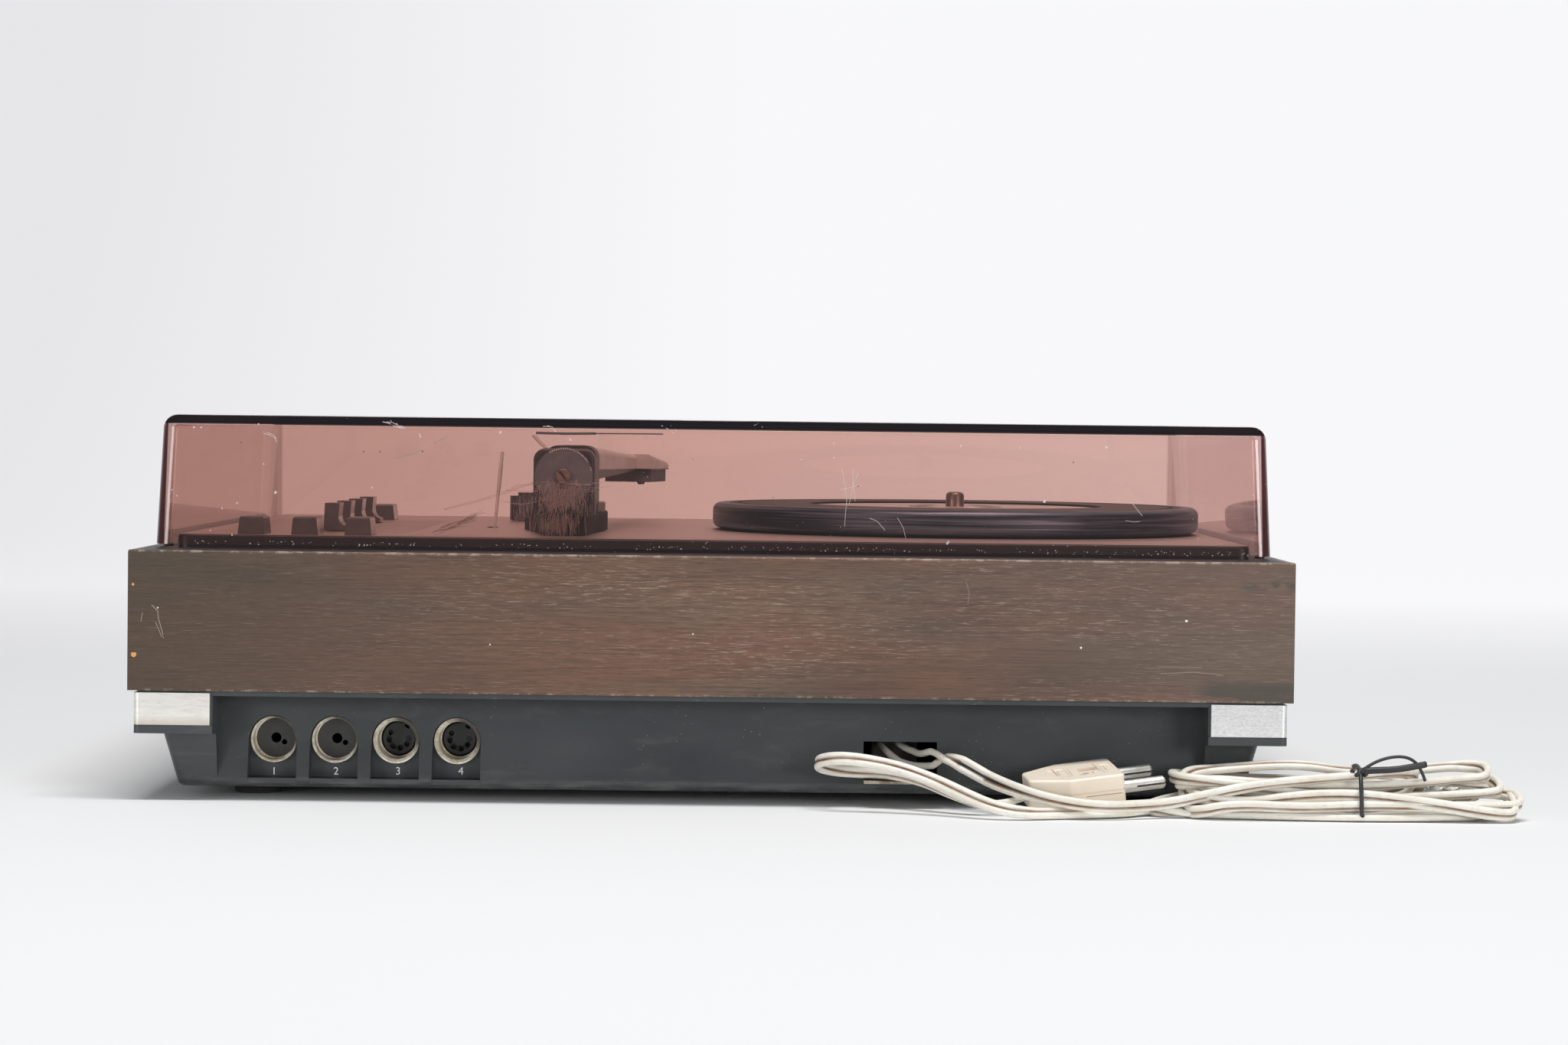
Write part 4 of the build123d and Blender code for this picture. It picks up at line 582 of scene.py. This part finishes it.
# across the rear, in from the rear face and up, in mm, and how far the flat cord stands on edge, in degrees
lead_route = [
    (-61.9, 34, 20.7, 0), (-66.2, 22, 17.8, 0), (-71, 16, 16.2, 0), (-74.6, 12, 16.5, 0),
    (-79.8, 8, 18, 0), (-84.5, 4, 17.4, 90), (-90.8, -1, 14.4, 90), (-97.1, -6, 11.2, 80),
    (-108, -17.5, 8.2, 70), (-121, -24, 5.9, 60), (-134, -24.8, 4.6, 60), (-146, -19.5, 4.6, 60),
    (-157, -15, 5, 50),
]
plug_route = [
    (-157, -4, 2.1, 10), (-149.5, -7.5, 2.1, 20), (-141, -16.5, 2.1, 20), (-130.5, -20.2, 2.1, 20),
    (-119, -22.3, 2.1, 30), (-107.5, -26.2, 2.4, 40), (-96.5, -26.6, 4.4, 60), (-87, -21.5, 8, 70),
    (-77.5, -15.8, 12, 70), (-66, -11.8, 15.8, 60), (-54.5, -9.2, 18, 60), (-44, -8.2, 18.9, 75),
    (-37.3, -2.8, 17.2, 90), (-37.3, 4.5, 14.7, 90), (-43.5, 9.4, 12.8, 85), (-52.5, 7.8, 12.4, 70),
    (-63, 4.2, 12.4, 55), (-73, -1.5, 10.6, 50), (-82.5, -8.4, 6.8, 40), (-92.6, -12.9, 3.4, 20),
    (-101.8, -10.9, 3.6, 0), (-109.2, -6.8, 6.3, 0),
]
# where the two conductors lie apart: from the centre line to the first, across, inwards and up, in mm
lead_splits = {
    0: (3.6, 0, 0.1), 1: (3.1, 0, -1.5), 2: (1.5, 0, -2.1), 3: (0.4, 0.4, -2.7), 4: (0, 1.2, 0.6),
    5: (0, 0.3, 1.9), 6: (0, 0, 1.8), 7: (0, 0, 1.5),
}
plug_splits = {20: (0.5, -2.6, 0.8), 21: (0, -1.8, 0)}

# each turn of the hank, in mm: the height and depth of its front strand at the left, the tie and the right,
# its right end, those of its back strand at the right, the tie and the left, its left end, how far each
# strand stands on edge, in degrees, and how far the back one bows up and the front one sags at the left
hank_turns = [
    ((11.5, -11), (11.6, -14.5), (14.4, -9), -268, (17.6, 2), (15.2, -3), (13.8, 4), -160, 25, 25, 3.4, -1.6),
    ((7.2, -17.8), (9.2, -19.4), (2.9, -20), -276, (9.0, 3), (12.2, 6), (12.4, 8), -165, 70, 20, -0.8, 2.6),
    ((13.2, -13.5), (7.4, -15.5), (9.6, -13), -272, (12.6, 7), (9.6, 1), (9.6, 0), -158.5, 30, 30, 1.8, -1.4),
    ((2.4, -20.6), (5.6, -19.6), (5.4, -16.5), -278, (8.4, -2), (7.2, 7), (7.0, 6), -163, 45, 20, -0.8, -2.2),
    ((8.0, -14.8), (3.6, -15.4), (7.6, -9), -262, (4.8, 5), (4.2, 2), (4.6, 9), -168, 15, 40, 1.2, 2.4),
    ((1.5, -14.2), (1.5, -19.8), (1.6, -13), -273, (1.6, 4), (1.5, -4), (1.6, -3), -150, 5, 10, 0.0, 0.0),
]


def hank_route():
    """Points of the hank: the lead's run over its top, then turn after turn down to the plug's lead."""
    points = [
        (-170, -17, 8.2, 50), (-186, -18.5, 12, 40), (-205, -18, 14.2, 30), (-222, -15.5, 15.4, 30),
        (-236, -13, 16.6, 40), (-243, -7, 15, 80), (-242, -1, 10, 80), (-232, -0.5, 7, 30),
        (-205, -4.5, 7, 20), (-178, -4, 9.5, 20), (-165, -3.5, 10.5, 70),
    ]
    for turn in hank_turns:
        left, tie, right, right_end, *back = turn
        back_right, back_tie, back_left, left_end, front_lay, back_lay, bow, sag = back
        middle = (right_end + TIE_X) / 2
        if points[-1][0] < -160:
            points.append((left_end, (points[-1][1] + left[1]) / 2, left[0] + 0.3, 80))
        points += [
            (left_end - 3, left[1] + 1.5, left[0], 70),
            (left_end - 16, left[1], (left[0] * 2 + tie[0]) / 3 - sag, front_lay),
            ((left_end + TIE_X) / 2 - 8, (left[1] + tie[1] * 2) / 3, (left[0] + tie[0] * 2) / 3, front_lay),
            (TIE_X, tie[1], tie[0], front_lay),
            (middle, (right[1] + tie[1]) / 2 - 1, (right[0] + tie[0]) / 2, front_lay),
            (right_end + 8, right[1], right[0], front_lay),
            (right_end, right[1] + 2, right[0], 75),
            (right_end, back_right[1] - 2, back_right[0], 75),
            (right_end + 9, back_right[1], back_right[0], back_lay),
            (middle, (back_right[1] + back_tie[1]) / 2, (back_right[0] + back_tie[0]) / 2, back_lay),
            (TIE_X, back_tie[1], back_tie[0], back_lay),
            (-203, (back_left[1] + back_tie[1]) / 2, (back_left[0] + back_tie[0]) / 2 + bow, back_lay),
            (-177, back_left[1], back_left[0] + bow / 2, back_lay),
        ]
        if turn is not hank_turns[-1]:
            points.append((-163, back_left[1], back_left[0], 70))
    return points


def curve_points(points):
    """The smooth line of a route: a NURBS spline with the route's points as its control points."""
    data = bpy.data.curves.new("route", "CURVE")
    data.dimensions = "3D"
    spline = data.splines.new("NURBS")
    spline.points.add(len(points) - 1)
    for place, point in zip(spline.points, points):
        place.co = (*point, 1)
    spline.order_u = 3
    spline.use_endpoint_u = True
    spline.resolution_u = 8
    route = linked("route", data)
    mesh = bpy.data.meshes.new_from_object(route)
    line = [vertex.co.copy() for vertex in mesh.vertices]
    bpy.data.objects.remove(route)
    bpy.data.meshes.remove(mesh)
    return line


def conductor_sides(route, splits):
    """For each control point, the way from the centre line to the first conductor, in metres."""
    sides = []
    places = [rear(*point[:3]) for point in route]
    for index, (*_, lay) in enumerate(route):
        if index in splits:
            across, inwards, up = splits[index]
            sides.append(Vector((across, -inwards, up)) * MM)
            continue
        run = run_at(places, index)
        flat = run.cross(Vector((0, 0, 1))).normalized()
        upright = flat.cross(run).normalized()
        sides.append(turned(flat, upright, math.radians(lay)) * PITCH * MM)
    for index in range(1, len(sides)):
        joined = index not in splits and index - 1 not in splits
        if joined and sides[index].dot(sides[index - 1]) < 0:
            sides[index] = -sides[index]
    return sides


def swept(name, lines, radius, sides, tones=None):
    """Round tubes along lines of points, closed at their ends. tones gives each vertex its groove."""
    vertices, faces, marks = [], [], []
    for which, line in enumerate(lines):
        start = len(vertices)
        tangent = (line[1] - line[0]).normalized()
        normal = tangent.orthogonal().normalized()
        for index, point in enumerate(line):
            ahead = run_at(line, index).normalized()
            normal = (normal - ahead * normal.dot(ahead)).normalized()
            other = ahead.cross(normal)
            for step in range(sides):
                way = turned(normal, other, 2 * math.pi * step / sides)
                vertices.append(point + way * radius)
                marks.append(tones(which, index, way) if tones else 0.0)
        for ring in range(len(line) - 1):
            for step in range(sides):
                a = start + ring * sides + step
                b = start + ring * sides + (step + 1) % sides
                faces.append((a, b, b + sides, a + sides))
        faces.append(tuple(start + step for step in reversed(range(sides))))
        faces.append(tuple(start + (len(line) - 1) * sides + step for step in range(sides)))
    piece = built(name, vertices, faces)
    for polygon in piece.data.polygons:
        polygon.use_smooth = len(polygon.vertices) == 4
    if tones:
        piece.data.attributes.new("groove", "FLOAT", "POINT").data.foreach_set("value", marks)
    return piece


def cord_vinyl():
    """Yellowed off-white vinyl, with the groove between the conductors painted brown: dirt, and painted shade
    in the crease.
    """
    look = Look("cord_vinyl", (0.66, 0.63, 0.56), 0.36, Subsurface_Weight=0.05)
    look.set(Subsurface_Radius=(0.002, 0.0015, 0.001))
    cloud = look.noise(70, 4, 0.6)
    look.color(look.ramp(cloud, 0.35, 0.65), (0.86, 0.835, 0.765), (0.77, 0.725, 0.63))
    grime = look.ramp(look.noise(450, 5, 0.7, (4, 2, 0)), 0.52, 0.72)
    look.over(look.both(grime, 0.25), (0.38, 0.32, 0.24))
    # dirt and painted shade: the brown in the groove stands for both, its share varied by the noise below
    groove = look.node("Attribute", attribute_name="groove").outputs["Fac"]
    rust = look.ramp(look.noise(90, 3, 0.6, (0, 9, 0)), 0.3, 0.7, 0.6, 1.0)
    look.over(look.both(groove, rust), (0.24, 0.12, 0.055))
    look.bump(grime, 0.06, 0.4)
    return look


def add_cord():
    """The flat twin cord: two conductors swept beside one line, which the row measures."""
    before_plug = lead_route + hank_route()
    route = before_plug + plug_route
    splits = lead_splits | {index + len(before_plug): way for index, way in plug_splits.items()}
    half_height = [CONDUCTOR + PITCH * math.sin(math.radians(lay)) + 0.15 for *_, lay in route]
    points = [rear(x, depth, max(z, least)) for (x, depth, z, _), least in zip(route, half_height)]
    line = curve_points(points)
    sides = conductor_sides(route, splits)
    ways = []
    for index, point in enumerate(line):
        place = index / (len(line) - 1) * (len(route) - 1)
        ahead = run_at(line, index).normalized()
        first = min(int(place), len(sides) - 2)
        way = sides[first].lerp(sides[first + 1], place - first)
        way -= ahead * way.dot(ahead)
        longer = max(side.length for side in sides[first : first + 2])
        ways.append(way if longer > 1.3 * PITCH * MM else way.normalized() * PITCH * MM)
    conductors = [[p + w for p, w in zip(line, ways)], [p - w for p, w in zip(line, ways)]]

    def groove(which, index, way):
        joined = ways[index].length < 1.5 * PITCH * MM
        towards = ways[index].normalized() * (1 if which else -1)
        return max(0.0, min(1.0, (way.dot(towards) - 0.35) / 0.25)) if joined else 0.0

    cord = swept("mains_cord", conductors, CONDUCTOR * MM, 14, groove)
    dress(cord, cord_vinyl(), BODY)
    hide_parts("cord_lead", "cord_hank", "cord_plug_lead")


add_cord()


# ---- tie round the hank ----
def add_tie():
    """A black twist tie: a ring round the strands, its two ends twisted and bent over to the right."""
    ring = [(-21.5, 2.5), (-22.6, 8), (-21.2, 12.6), (-17.5, 17), (-9, 18.4), (0, 17.2), (9, 14), (11.5, 8)]
    ring += [(10.5, 2), (6, 0.7), (-8, 0.7), (-18.5, 0.7), (-21.5, 2.5)]
    loop = curve_points([rear(TIE_X + 0.4 * math.sin(i), depth, z) for i, (depth, z) in enumerate(ring)])
    straight = [(-221, -17, 17), (-226, -18, 17.6), (-233, -18, 17.8), (-240, -17, 18.8), (-244.5, -16, 19.6)]
    arched = [(-220, -18, 15.5), (-224, -18, 19), (-231, -17, 22), (-238, -17, 22.4), (-242.5, -17, 19)]
    arched.append((-244, -18, 14))
    twists = [(-219 - 0.9 * i, -17.5 + 1.2 * math.sin(2 * i), 16.4 + math.cos(2 * i)) for i in range(7)]
    routes = (straight, arched, twists)
    flat_end, thin_end, knot = (curve_points([rear(*point) for point in route]) for route in routes)
    tie = swept("twist_tie", [loop, knot], 0.75 * MM, 8)
    flat = swept("tie_end_flat", [flat_end], 1.15 * MM, 8)
    thin = swept("tie_end_thin", [thin_end], 0.55 * MM, 8)
    look = Look("tie_black", (0.025, 0.025, 0.027), 0.45)
    look.bump(look.noise(900, 3), 0.05, 0.5)
    for piece in (tie, flat, thin):
        dress(piece, look, BODY)
    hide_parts("cord_tie")


add_tie()


# ---- small marks laid on surfaces ----
def ray_to(px, py):
    """Where the camera is, and the way from it to a pixel of the photograph."""
    place = scene.camera.matrix_world
    focal = scene.camera.data.lens / scene.camera.data.sensor_width * PHOTO_WIDTH
    way = Vector((px - PHOTO_WIDTH / 2, PHOTO_HEIGHT / 2 - py, -focal))
    return place.translation, (place.to_3x3() @ way).normalized()


def seen_at(px, py, depth):
    """The point behind a pixel of the photograph at a depth in from the plinth's rear face, in mm."""
    start, way = ray_to(px, py)
    return start + way * (((REAR - depth) * MM - start.y) / way.y)


def surface_of(name):
    """A node's surface, for rays to hit."""
    mesh = nodes[name].data
    return BVHTree.FromPolygons([v.co for v in mesh.vertices], [tuple(p.vertices) for p in mesh.polygons])


def laid_on(surface, px, py, lift=0.04):
    """The point of a surface behind a pixel, lifted off it by some mm, and the way that it faces there."""
    start, way = ray_to(px, py)
    point, normal, *_ = surface.ray_cast(start, way)
    if point is None:
        return None
    if normal.dot(way) > 0:
        normal = -normal
    return point + normal * lift * MM, normal


def paint(name, color, roughness=0.6, grain=3000, detail=2, height=0.03, strength=0.5, **sockets):
    """A material of one colour with a fine grain, for small marks."""
    look = Look(name, color, roughness, **sockets)
    look.bump(look.noise(grain, detail), height, strength)
    return look


def strokes(name, node, body, slot, look, lines):
    """Flat lines on a node's surface through pixels. Each line is its width in mm and its pixels."""
    surface = surface_of(node)
    vertices, faces = [], []
    for width, *pixels in lines:
        path = [hit for hit in (laid_on(surface, *pixel) for pixel in pixels) if hit]
        points = [point for point, _ in path]
        for index, (point, normal) in enumerate(path):
            side = run_at(points, index).cross(normal).normalized() * width * MM / 2
            vertices += [point - side, point + side]
            if index:
                last = len(vertices)
                faces.append((last - 4, last - 3, last - 1, last - 2))
    dress(built(name, vertices, faces), look, body)


SPECK_SIDES = 7


def specks(name, node, body, slot, look, spots):
    """Flat uneven specks on a node's surface. Each is its radius in mm and its pixel."""
    surface = surface_of(node)
    chance = random.Random(5)
    vertices, faces = [], []
    for radius, *pixel in spots:
        hit = laid_on(surface, *pixel)
        if not hit:
            continue
        point, normal = hit
        side = normal.orthogonal().normalized()
        other = normal.cross(side)
        start = len(vertices)
        for step in range(SPECK_SIDES):
            reach = radius * chance.uniform(0.7, 1.25) * MM
            vertices.append(point + turned(side, other, 2 * math.pi * step / SPECK_SIDES) * reach)
        faces.append(tuple(range(start, start + SPECK_SIDES)))
    dress(built(name, vertices, faces), look, body)


def add_cover_marks():
    """Scratches, specks, dirt and smears on the cover's rear wall, and a painted dark reflection near its
    top.
    """
    cover = ("dust_cover", "cover", "cover_acrylic")
    pale = paint("pale_scratch", (0.62, 0.55, 0.53))
    lines = [
        (0.22, (500, 551), (508, 553), (516, 557), (524, 559), (529, 559)),
        (0.16, (505, 551), (513, 552), (519, 556), (527, 557)), (0.16, (510, 549.5), (519, 554), (523, 558)),
        (0.16, (344, 566), (352, 568), (359, 572), (362, 578)), (0.14, (349, 565), (357, 568), (361, 573)),
        (0.16, (709, 557), (716, 557), (724, 562), (726, 566)),
        (0.14, (715, 556), (722, 558), (727, 563), (726, 567)), (0.2, (743, 575), (746.5, 574)),
        (0.12, (1100, 614), (1103, 630), (1106, 652), (1103, 688)),
        (0.12, (1114, 612), (1114, 630), (1117, 655)), (0.12, (1121, 618), (1114, 634), (1109, 660)),
        (0.1, (1096, 640), (1110, 637), (1125, 633)), (0.14, (1136, 677), (1146, 681), (1156, 693)),
        (0.14, (1478, 656), (1484, 664), (1492, 674)), (0.12, (1470, 680), (1481, 682), (1489, 681)),
        (0.18, (985, 556), (990, 553), (996, 558)), (0.14, (864, 556), (872, 560), (880, 566)),
        (0.14, (876, 556), (884, 563)), (0.12, (1172, 676), (1180, 690), (1183, 703)),
    ]
    strokes("cover_scratches", *cover, pale, lines)
    spots = [
        (0.32, 253.3, 558), (0.32, 263, 558), (0.28, 337.6, 554), (0.28, 344.5, 606), (0.3, 309.5, 657),
        (0.3, 290, 664), (0.28, 274.7, 693), (0.3, 549.4, 570.3), (0.25, 548, 567.5), (0.45, 653.8, 565),
        (0.5, 360, 643), (0.3, 303, 698.6), (0.28, 485.6, 637), (0.3, 224.5, 640), (0.3, 231, 647.5),
        (0.5, 745, 574.5), (0.6, 1364, 654.4), (0.28, 1255, 582.7), (0.3, 1332, 585), (0.45, 1445, 584),
        (0.26, 1088.8, 579), (0.26, 1089.4, 598), (0.28, 1047, 600), (0.4, 1237, 710), (0.4, 1238.5, 708),
    ]
    chance = random.Random(11)
    for _ in range(120):
        px = chance.uniform(240, 1650)
        foot = 710.6 + PHOTO_SLOPE * (px - 590)
        spots.append((chance.uniform(0.08, 0.19), px, foot + chance.gauss(0, 0.8)))
    specks("cover_specks", *cover, pale, spots)
    dark = paint("dark_speck", (0.06, 0.035, 0.03))
    spots = [(0.24, 474.8, 589.6), (0.24, 496.4, 590), (0.26, 552, 590), (0.3, 1121, 635), (0.22, 315, 578)]
    spots += [(0.22, 780, 640), (0.2, 905, 600), (0.25, 1402, 604), (0.2, 1010, 650)]
    specks("cover_dirt", *cover, dark, spots)
    # painted reflection: a dark streak near the top of the rear wall
    lines = [(0.9, (700, 565.5), (740, 566.5), (778, 566.3)), (0.45, (776, 566.3), (820, 566.6), (866, 567))]
    strokes("cover_dark_reflection", *cover, dark, lines)
    faint = paint("faint_scratch", (0.34, 0.22, 0.2))
    lines = [(0.35, (516, 599), (535, 594), (552, 588)), (0.3, (566, 580), (578, 573), (586, 570))]
    strokes("cover_smears", *cover, faint, lines)


def add_arm_marks():
    """Worn bright points round the upper rim of the balance wheel, and the slot of its screw."""
    bright = paint("knurl_bright", (0.92, 0.9, 0.88), 0.3, Metallic=0.3)
    rim = 36.6  # the wheel's radius in pixels
    angles = [math.radians(4 + 4.6 * step) for step in range(26)]
    spots = [(0.26, 736.5 + rim * math.cos(angle), 622.5 - rim * math.sin(angle)) for angle in angles]
    specks("knurl_points", "balance_wheel", "balance", "weight_metal", bright, spots)
    slot = paint("screw_slot", (0.02, 0.013, 0.01), 0.7)
    line = (0.7, (731, 615), (735.5, 620), (739.5, 624.5))
    strokes("screw_slot", "balance_screw", "arm", "steel", slot, [line])


def add_wood_marks():
    """White spots, scratches and orange chips on the rear board."""
    board = ("wood_rear", BODY, "wood")
    white = paint("wood_fleck", (0.8, 0.78, 0.74), 0.7)
    spots = [(0.45, 1549.6, 811), (0.4, 1412, 846), (0.3, 206, 794), (0.3, 640, 842), (0.28, 905, 828)]
    specks("wood_flecks", *board, white, spots)
    pale = paint("wood_scratch", (0.3, 0.25, 0.2), 0.7)
    lines = [
        (0.3, (198, 790), (206, 798), (207, 808), (213, 829)), (0.22, (186, 800), (184, 812)),
        (0.25, (203, 812), (211, 831), (214, 833)), (0.14, (1172, 838), (1182, 838), (1190, 836)),
        (0.12, (1262, 760), (1266, 775), (1264, 790)), (0.14, (1512, 871), (1545, 872), (1570, 872)),
        (0.18, (1516, 880), (1560, 878), (1598, 882)), (0.1, (1440, 770), (1470, 765), (1500, 772)),
    ]
    strokes("wood_scratches", *board, pale, lines)
    chip = paint("wood_chip", (0.72, 0.33, 0.12), 0.7)
    specks("wood_chips", *board, chip, [(0.9, 174.5, 854.5), (0.5, 174, 763)])


def add_plug_marks():
    """Seam and moulded lines of the plug, with painted shade along the outlines of its moulded panels, and
    the nut in its pocket, with rust beside it.
    """
    plug = ("plug_body", BODY, "plug_vinyl")
    seam = paint("plug_seam", (0.46, 0.27, 0.17))
    lines = [
        (0.26, (1373.5, 1005), (1381, 1013), (1391.5, 1022.5)),
        (0.24, (1426.5, 997.5), (1436, 1006), (1445.5, 1014.5)),
        (0.22, (1340.5, 1014.5), (1349.5, 1024)),
        (0.26, (1419, 1041), (1440, 1038.5), (1466, 1035.5)),
    ]
    strokes("plug_lines", *plug, seam, lines)
    # painted shade: the outlines of the moulded panels are painted darker
    shade = paint("plug_relief", (0.56, 0.45, 0.34), 0.5)
    lines = [
        (0.24, (1380, 1008), (1394, 1005.5), (1401, 1013), (1388, 1016.5), (1380, 1008)),
        (0.2, (1435, 1001), (1440, 1000), (1448, 1008), (1443, 1009), (1435, 1001)),
    ]
    strokes("plug_panels", *plug, shade, lines)
    coarse = {"grain": 2500, "detail": 3, "height": 0.06, "strength": 0.6}
    nut = paint("plug_nut", (0.72, 0.71, 0.66), 0.35, **coarse, Metallic=0.4)
    specks("plug_nut", "plug_body", BODY, "steel", nut, [(1.15, 1417.5, 1010.5), (0.5, 1412.5, 1012)])
    rust = paint("plug_rust", (0.4, 0.13, 0.05), 0.7, **coarse)
    specks("plug_rust", *plug, rust, [(0.45, 1427, 1009)])


def add_foil():
    """A scrap of crumpled silver foil caught between the strands of the hank."""
    chance = random.Random(21)
    columns, rows = 11, 5
    left, top = 1860, 1026  # in pixels
    vertices = []
    for row in range(rows):
        for column in range(columns):
            px = left + 7.2 * column + chance.gauss(0, 1.6)
            py = top + 4.4 * row + 0.05 * (px - left) + chance.gauss(0, 1.2)
            vertices.append(seen_at(px, py, -11 + chance.gauss(0, 1.3)))
    faces = []
    for row in range(rows - 1):
        for column in range(columns - 1):
            corner = row * columns + column
            below = corner + columns
            faces += [(corner, corner + 1, below), (corner + 1, below + 1, below)]
    look = Look("foil", (0.8, 0.79, 0.76), 0.3, Metallic=0.5)
    look.color(look.noise(700, 3), (0.92, 0.91, 0.88), (0.34, 0.33, 0.31))
    look.bump(look.noise(1800, 3, 0.7), 0.2, 0.8)
    dress(built("foil_scrap", vertices, faces), look, BODY)


def add_numerals():
    """Plain numbers under the four sockets."""
    surface = surface_of("bottom_tub")
    ink = paint("numeral_ink", (0.93, 0.93, 0.9))
    for number, px in enumerate((358, 439, 520, 602), 1):
        point, normal = laid_on(surface, px, 1007.5, 0.05)
        data = bpy.data.curves.new("numeral", "FONT")
        data.body = str(number)
        data.size = 3.8 * MM
        data.extrude = 0.02 * MM
        data.align_x = data.align_y = "CENTER"
        letter = linked("numeral", data)
        mesh = bpy.data.meshes.new_from_object(letter)
        bpy.data.objects.remove(letter)
        across = Vector((-1, 0, 0))
        up = normal.cross(across).normalized()
        mesh.transform(Matrix.Translation(point) @ Matrix((across, up, normal)).transposed().to_4x4())
        mesh.materials.clear()
        dress(linked(f"numeral_{number}", mesh), ink, BODY)


add_cover_marks()
add_arm_marks()
add_wood_marks()
add_plug_marks()
add_foil()
add_numerals()


# ---- lint ----
def fibres(name, body, look, hairs, radius):
    """Fine hairs of a radius in mm. Each is a list of points in metres."""
    dress(swept(name, [curve_points(hair) for hair in hairs], radius * MM, 3), look, body)


def add_lint():
    """Felted dust over the lower half of the arm's rear end, threads below it, hairs and a tuft beside it."""
    chance = random.Random(3)
    look = Look("lint", (0.8, 0.72, 0.68), 0.9)
    look.color(look.noise(900, 2), (0.8, 0.69, 0.67), (0.5, 0.42, 0.4))

    def strand(px, py, dx, dy, depth, bend):
        """A short hair from a pixel, running by dx and dy pixels with a random bend."""
        middle = (px + dx / 2 + chance.gauss(0, bend), py + dy / 2 + chance.gauss(0, bend))
        spots = [(px, py), middle, (px + dx, py + dy)]
        return [seen_at(*spot, depth + chance.uniform(-0.6, 0.6)) for spot in spots]

    felt = []
    for _ in range(760):
        px, py = chance.gauss(732, 17), chance.triangular(622, 668, 645)
        if 697 < px < 776:
            felt.append(strand(px, py, chance.gauss(0, 2.5), chance.gauss(8, 4), 42.5, 0.5))
    for _ in range(26):
        px, py = chance.uniform(697, 772), chance.uniform(628, 642)
        felt.append(strand(px, py, chance.uniform(8, 30), chance.gauss(0, 3), 42.2, 2.0))
    fibres("arm_felt", "arm", look, felt, 0.045)
    threads = []
    for _ in range(240):
        px, py = chance.gauss(728, 15), chance.uniform(664, 684)
        threads.append(strand(px, py, chance.gauss(0, 1.5), chance.uniform(8, 28), 47.5, 0.6))
    for _ in range(34):
        px, py = chance.uniform(668, 700), chance.uniform(646, 668)
        threads.append(strand(px, py, chance.gauss(0, 5), chance.uniform(6, 22), 49.0, 2.0))
    fibres("base_threads", BODY, look, threads, 0.045)
    routes = [
        (45, (579, 665), (630, 652), (665, 640), (700, 629)),
        (46, (581, 666), (626, 655), (655, 646), (690, 633), (715, 628)),
        (45, (655, 654), (675, 660), (700, 656), (722, 650)),
        (44, (660, 640), (690, 642), (730, 640), (776, 642)),
        (44, (668, 637), (680, 632), (700, 634), (770, 631)),
    ]
    long_hairs = [[seen_at(*spot, depth) for spot in spots] for depth, *spots in routes]
    fibres("long_hairs", BODY, look, long_hairs, 0.09)
    tuft = []
    left = 562  # in pixels
    for _ in range(34):
        px = chance.uniform(left, 612)
        py = 699 - (px - left) * 0.42 + chance.gauss(0, 1.6)
        depth = 34 + (px - left) * 0.9
        hair = strand(px, py, chance.uniform(14, 30), -chance.uniform(5, 12), depth, 1.6)
        tuft.append([Vector((p.x, p.y, max(p.z, DECK_TOP + 0.15 * MM))) for p in hair])
    dark = Look("dark_lint", (0.3, 0.24, 0.22), 0.9)
    dark.color(dark.noise(900, 2), (0.38, 0.31, 0.29), (0.2, 0.15, 0.14))
    fibres("deck_tuft", BODY, dark, tuft, 0.06)


add_lint()


# ---- stage ----
def add_stage():
    """A seamless pale floor that curves up into the backdrop, which is seen by its own even glow."""
    profile = [(3.2, 0.0), (0.9, 0.0), (-0.9, 0.0), (-1.7, 0.02)]
    bend, steps = 1.3, 12
    for step in range(1, steps + 1):
        angle = math.radians(90 * step / steps)
        profile.append((-1.7 - bend * math.sin(angle), 0.02 + bend * (1 - math.cos(angle))))
    profile.append((-3.0, 5.0))
    vertices = [(x, y, z) for y, z in profile for x in (-5, 5)]
    faces = [(2 * i, 2 * i + 1, 2 * i + 3, 2 * i + 2) for i in range(len(profile) - 1)]
    floor = built("floor", vertices, faces)
    for polygon in floor.data.polygons:
        polygon.use_smooth = True
    look = Look("floor", (0.84, 0.845, 0.85), 0.9)
    glow = look.mix(look.ramp(look.x, 0.75, 0), (0.83, 0.825, 0.85), (0.985, 0.985, 1.0))
    light = look.node("Emission", {"Color": glow, "Strength": 1})
    ray = look.node("LightPath").outputs
    seen = look.most(look.most(ray["Is Camera Ray"], ray["Is Glossy Ray"]), ray["Is Transmission Ray"])
    look.surface(look.blend(look.both(seen, look.ramp(look.y, 0, -1.2, 0, 0.92)), look.shader, light))
    floor.data.materials.append(look.material)


def add_light(name, place, target, size, power):
    """A soft lamp, in metres and watts."""
    data = bpy.data.lights.new(name, "AREA")
    data.shape = "RECTANGLE"
    data.size, data.size_y = size
    data.energy = power
    light = linked(name, data)
    light.location = place
    light.rotation_euler = (Vector(target) - Vector(place)).to_track_quat("-Z", "Y").to_euler()


def add_lights():
    """A dim cool world, one lamp overhead and a low one on each side of the rear."""
    scene.world = bpy.data.worlds.new("world")
    scene.world.use_nodes = True
    back = scene.world.node_tree.nodes["Background"]
    back.inputs["Color"].default_value = (0.96, 0.975, 1.0, 1)
    back.inputs["Strength"].default_value = 0.25
    add_light("overhead", (-0.1, 0.56, 1.9), (0, 0.1, 0), (1.2, 0.34), 31)
    add_light("key", (-1.7, 2.0, 0.4), (0, 0.1, 0.05), (0.9, 0.6), 17)
    add_light("fill", (1.7, 2.0, 0.35), (0, 0.1, 0.05), (0.9, 0.6), 12)


add_stage()
add_lights()
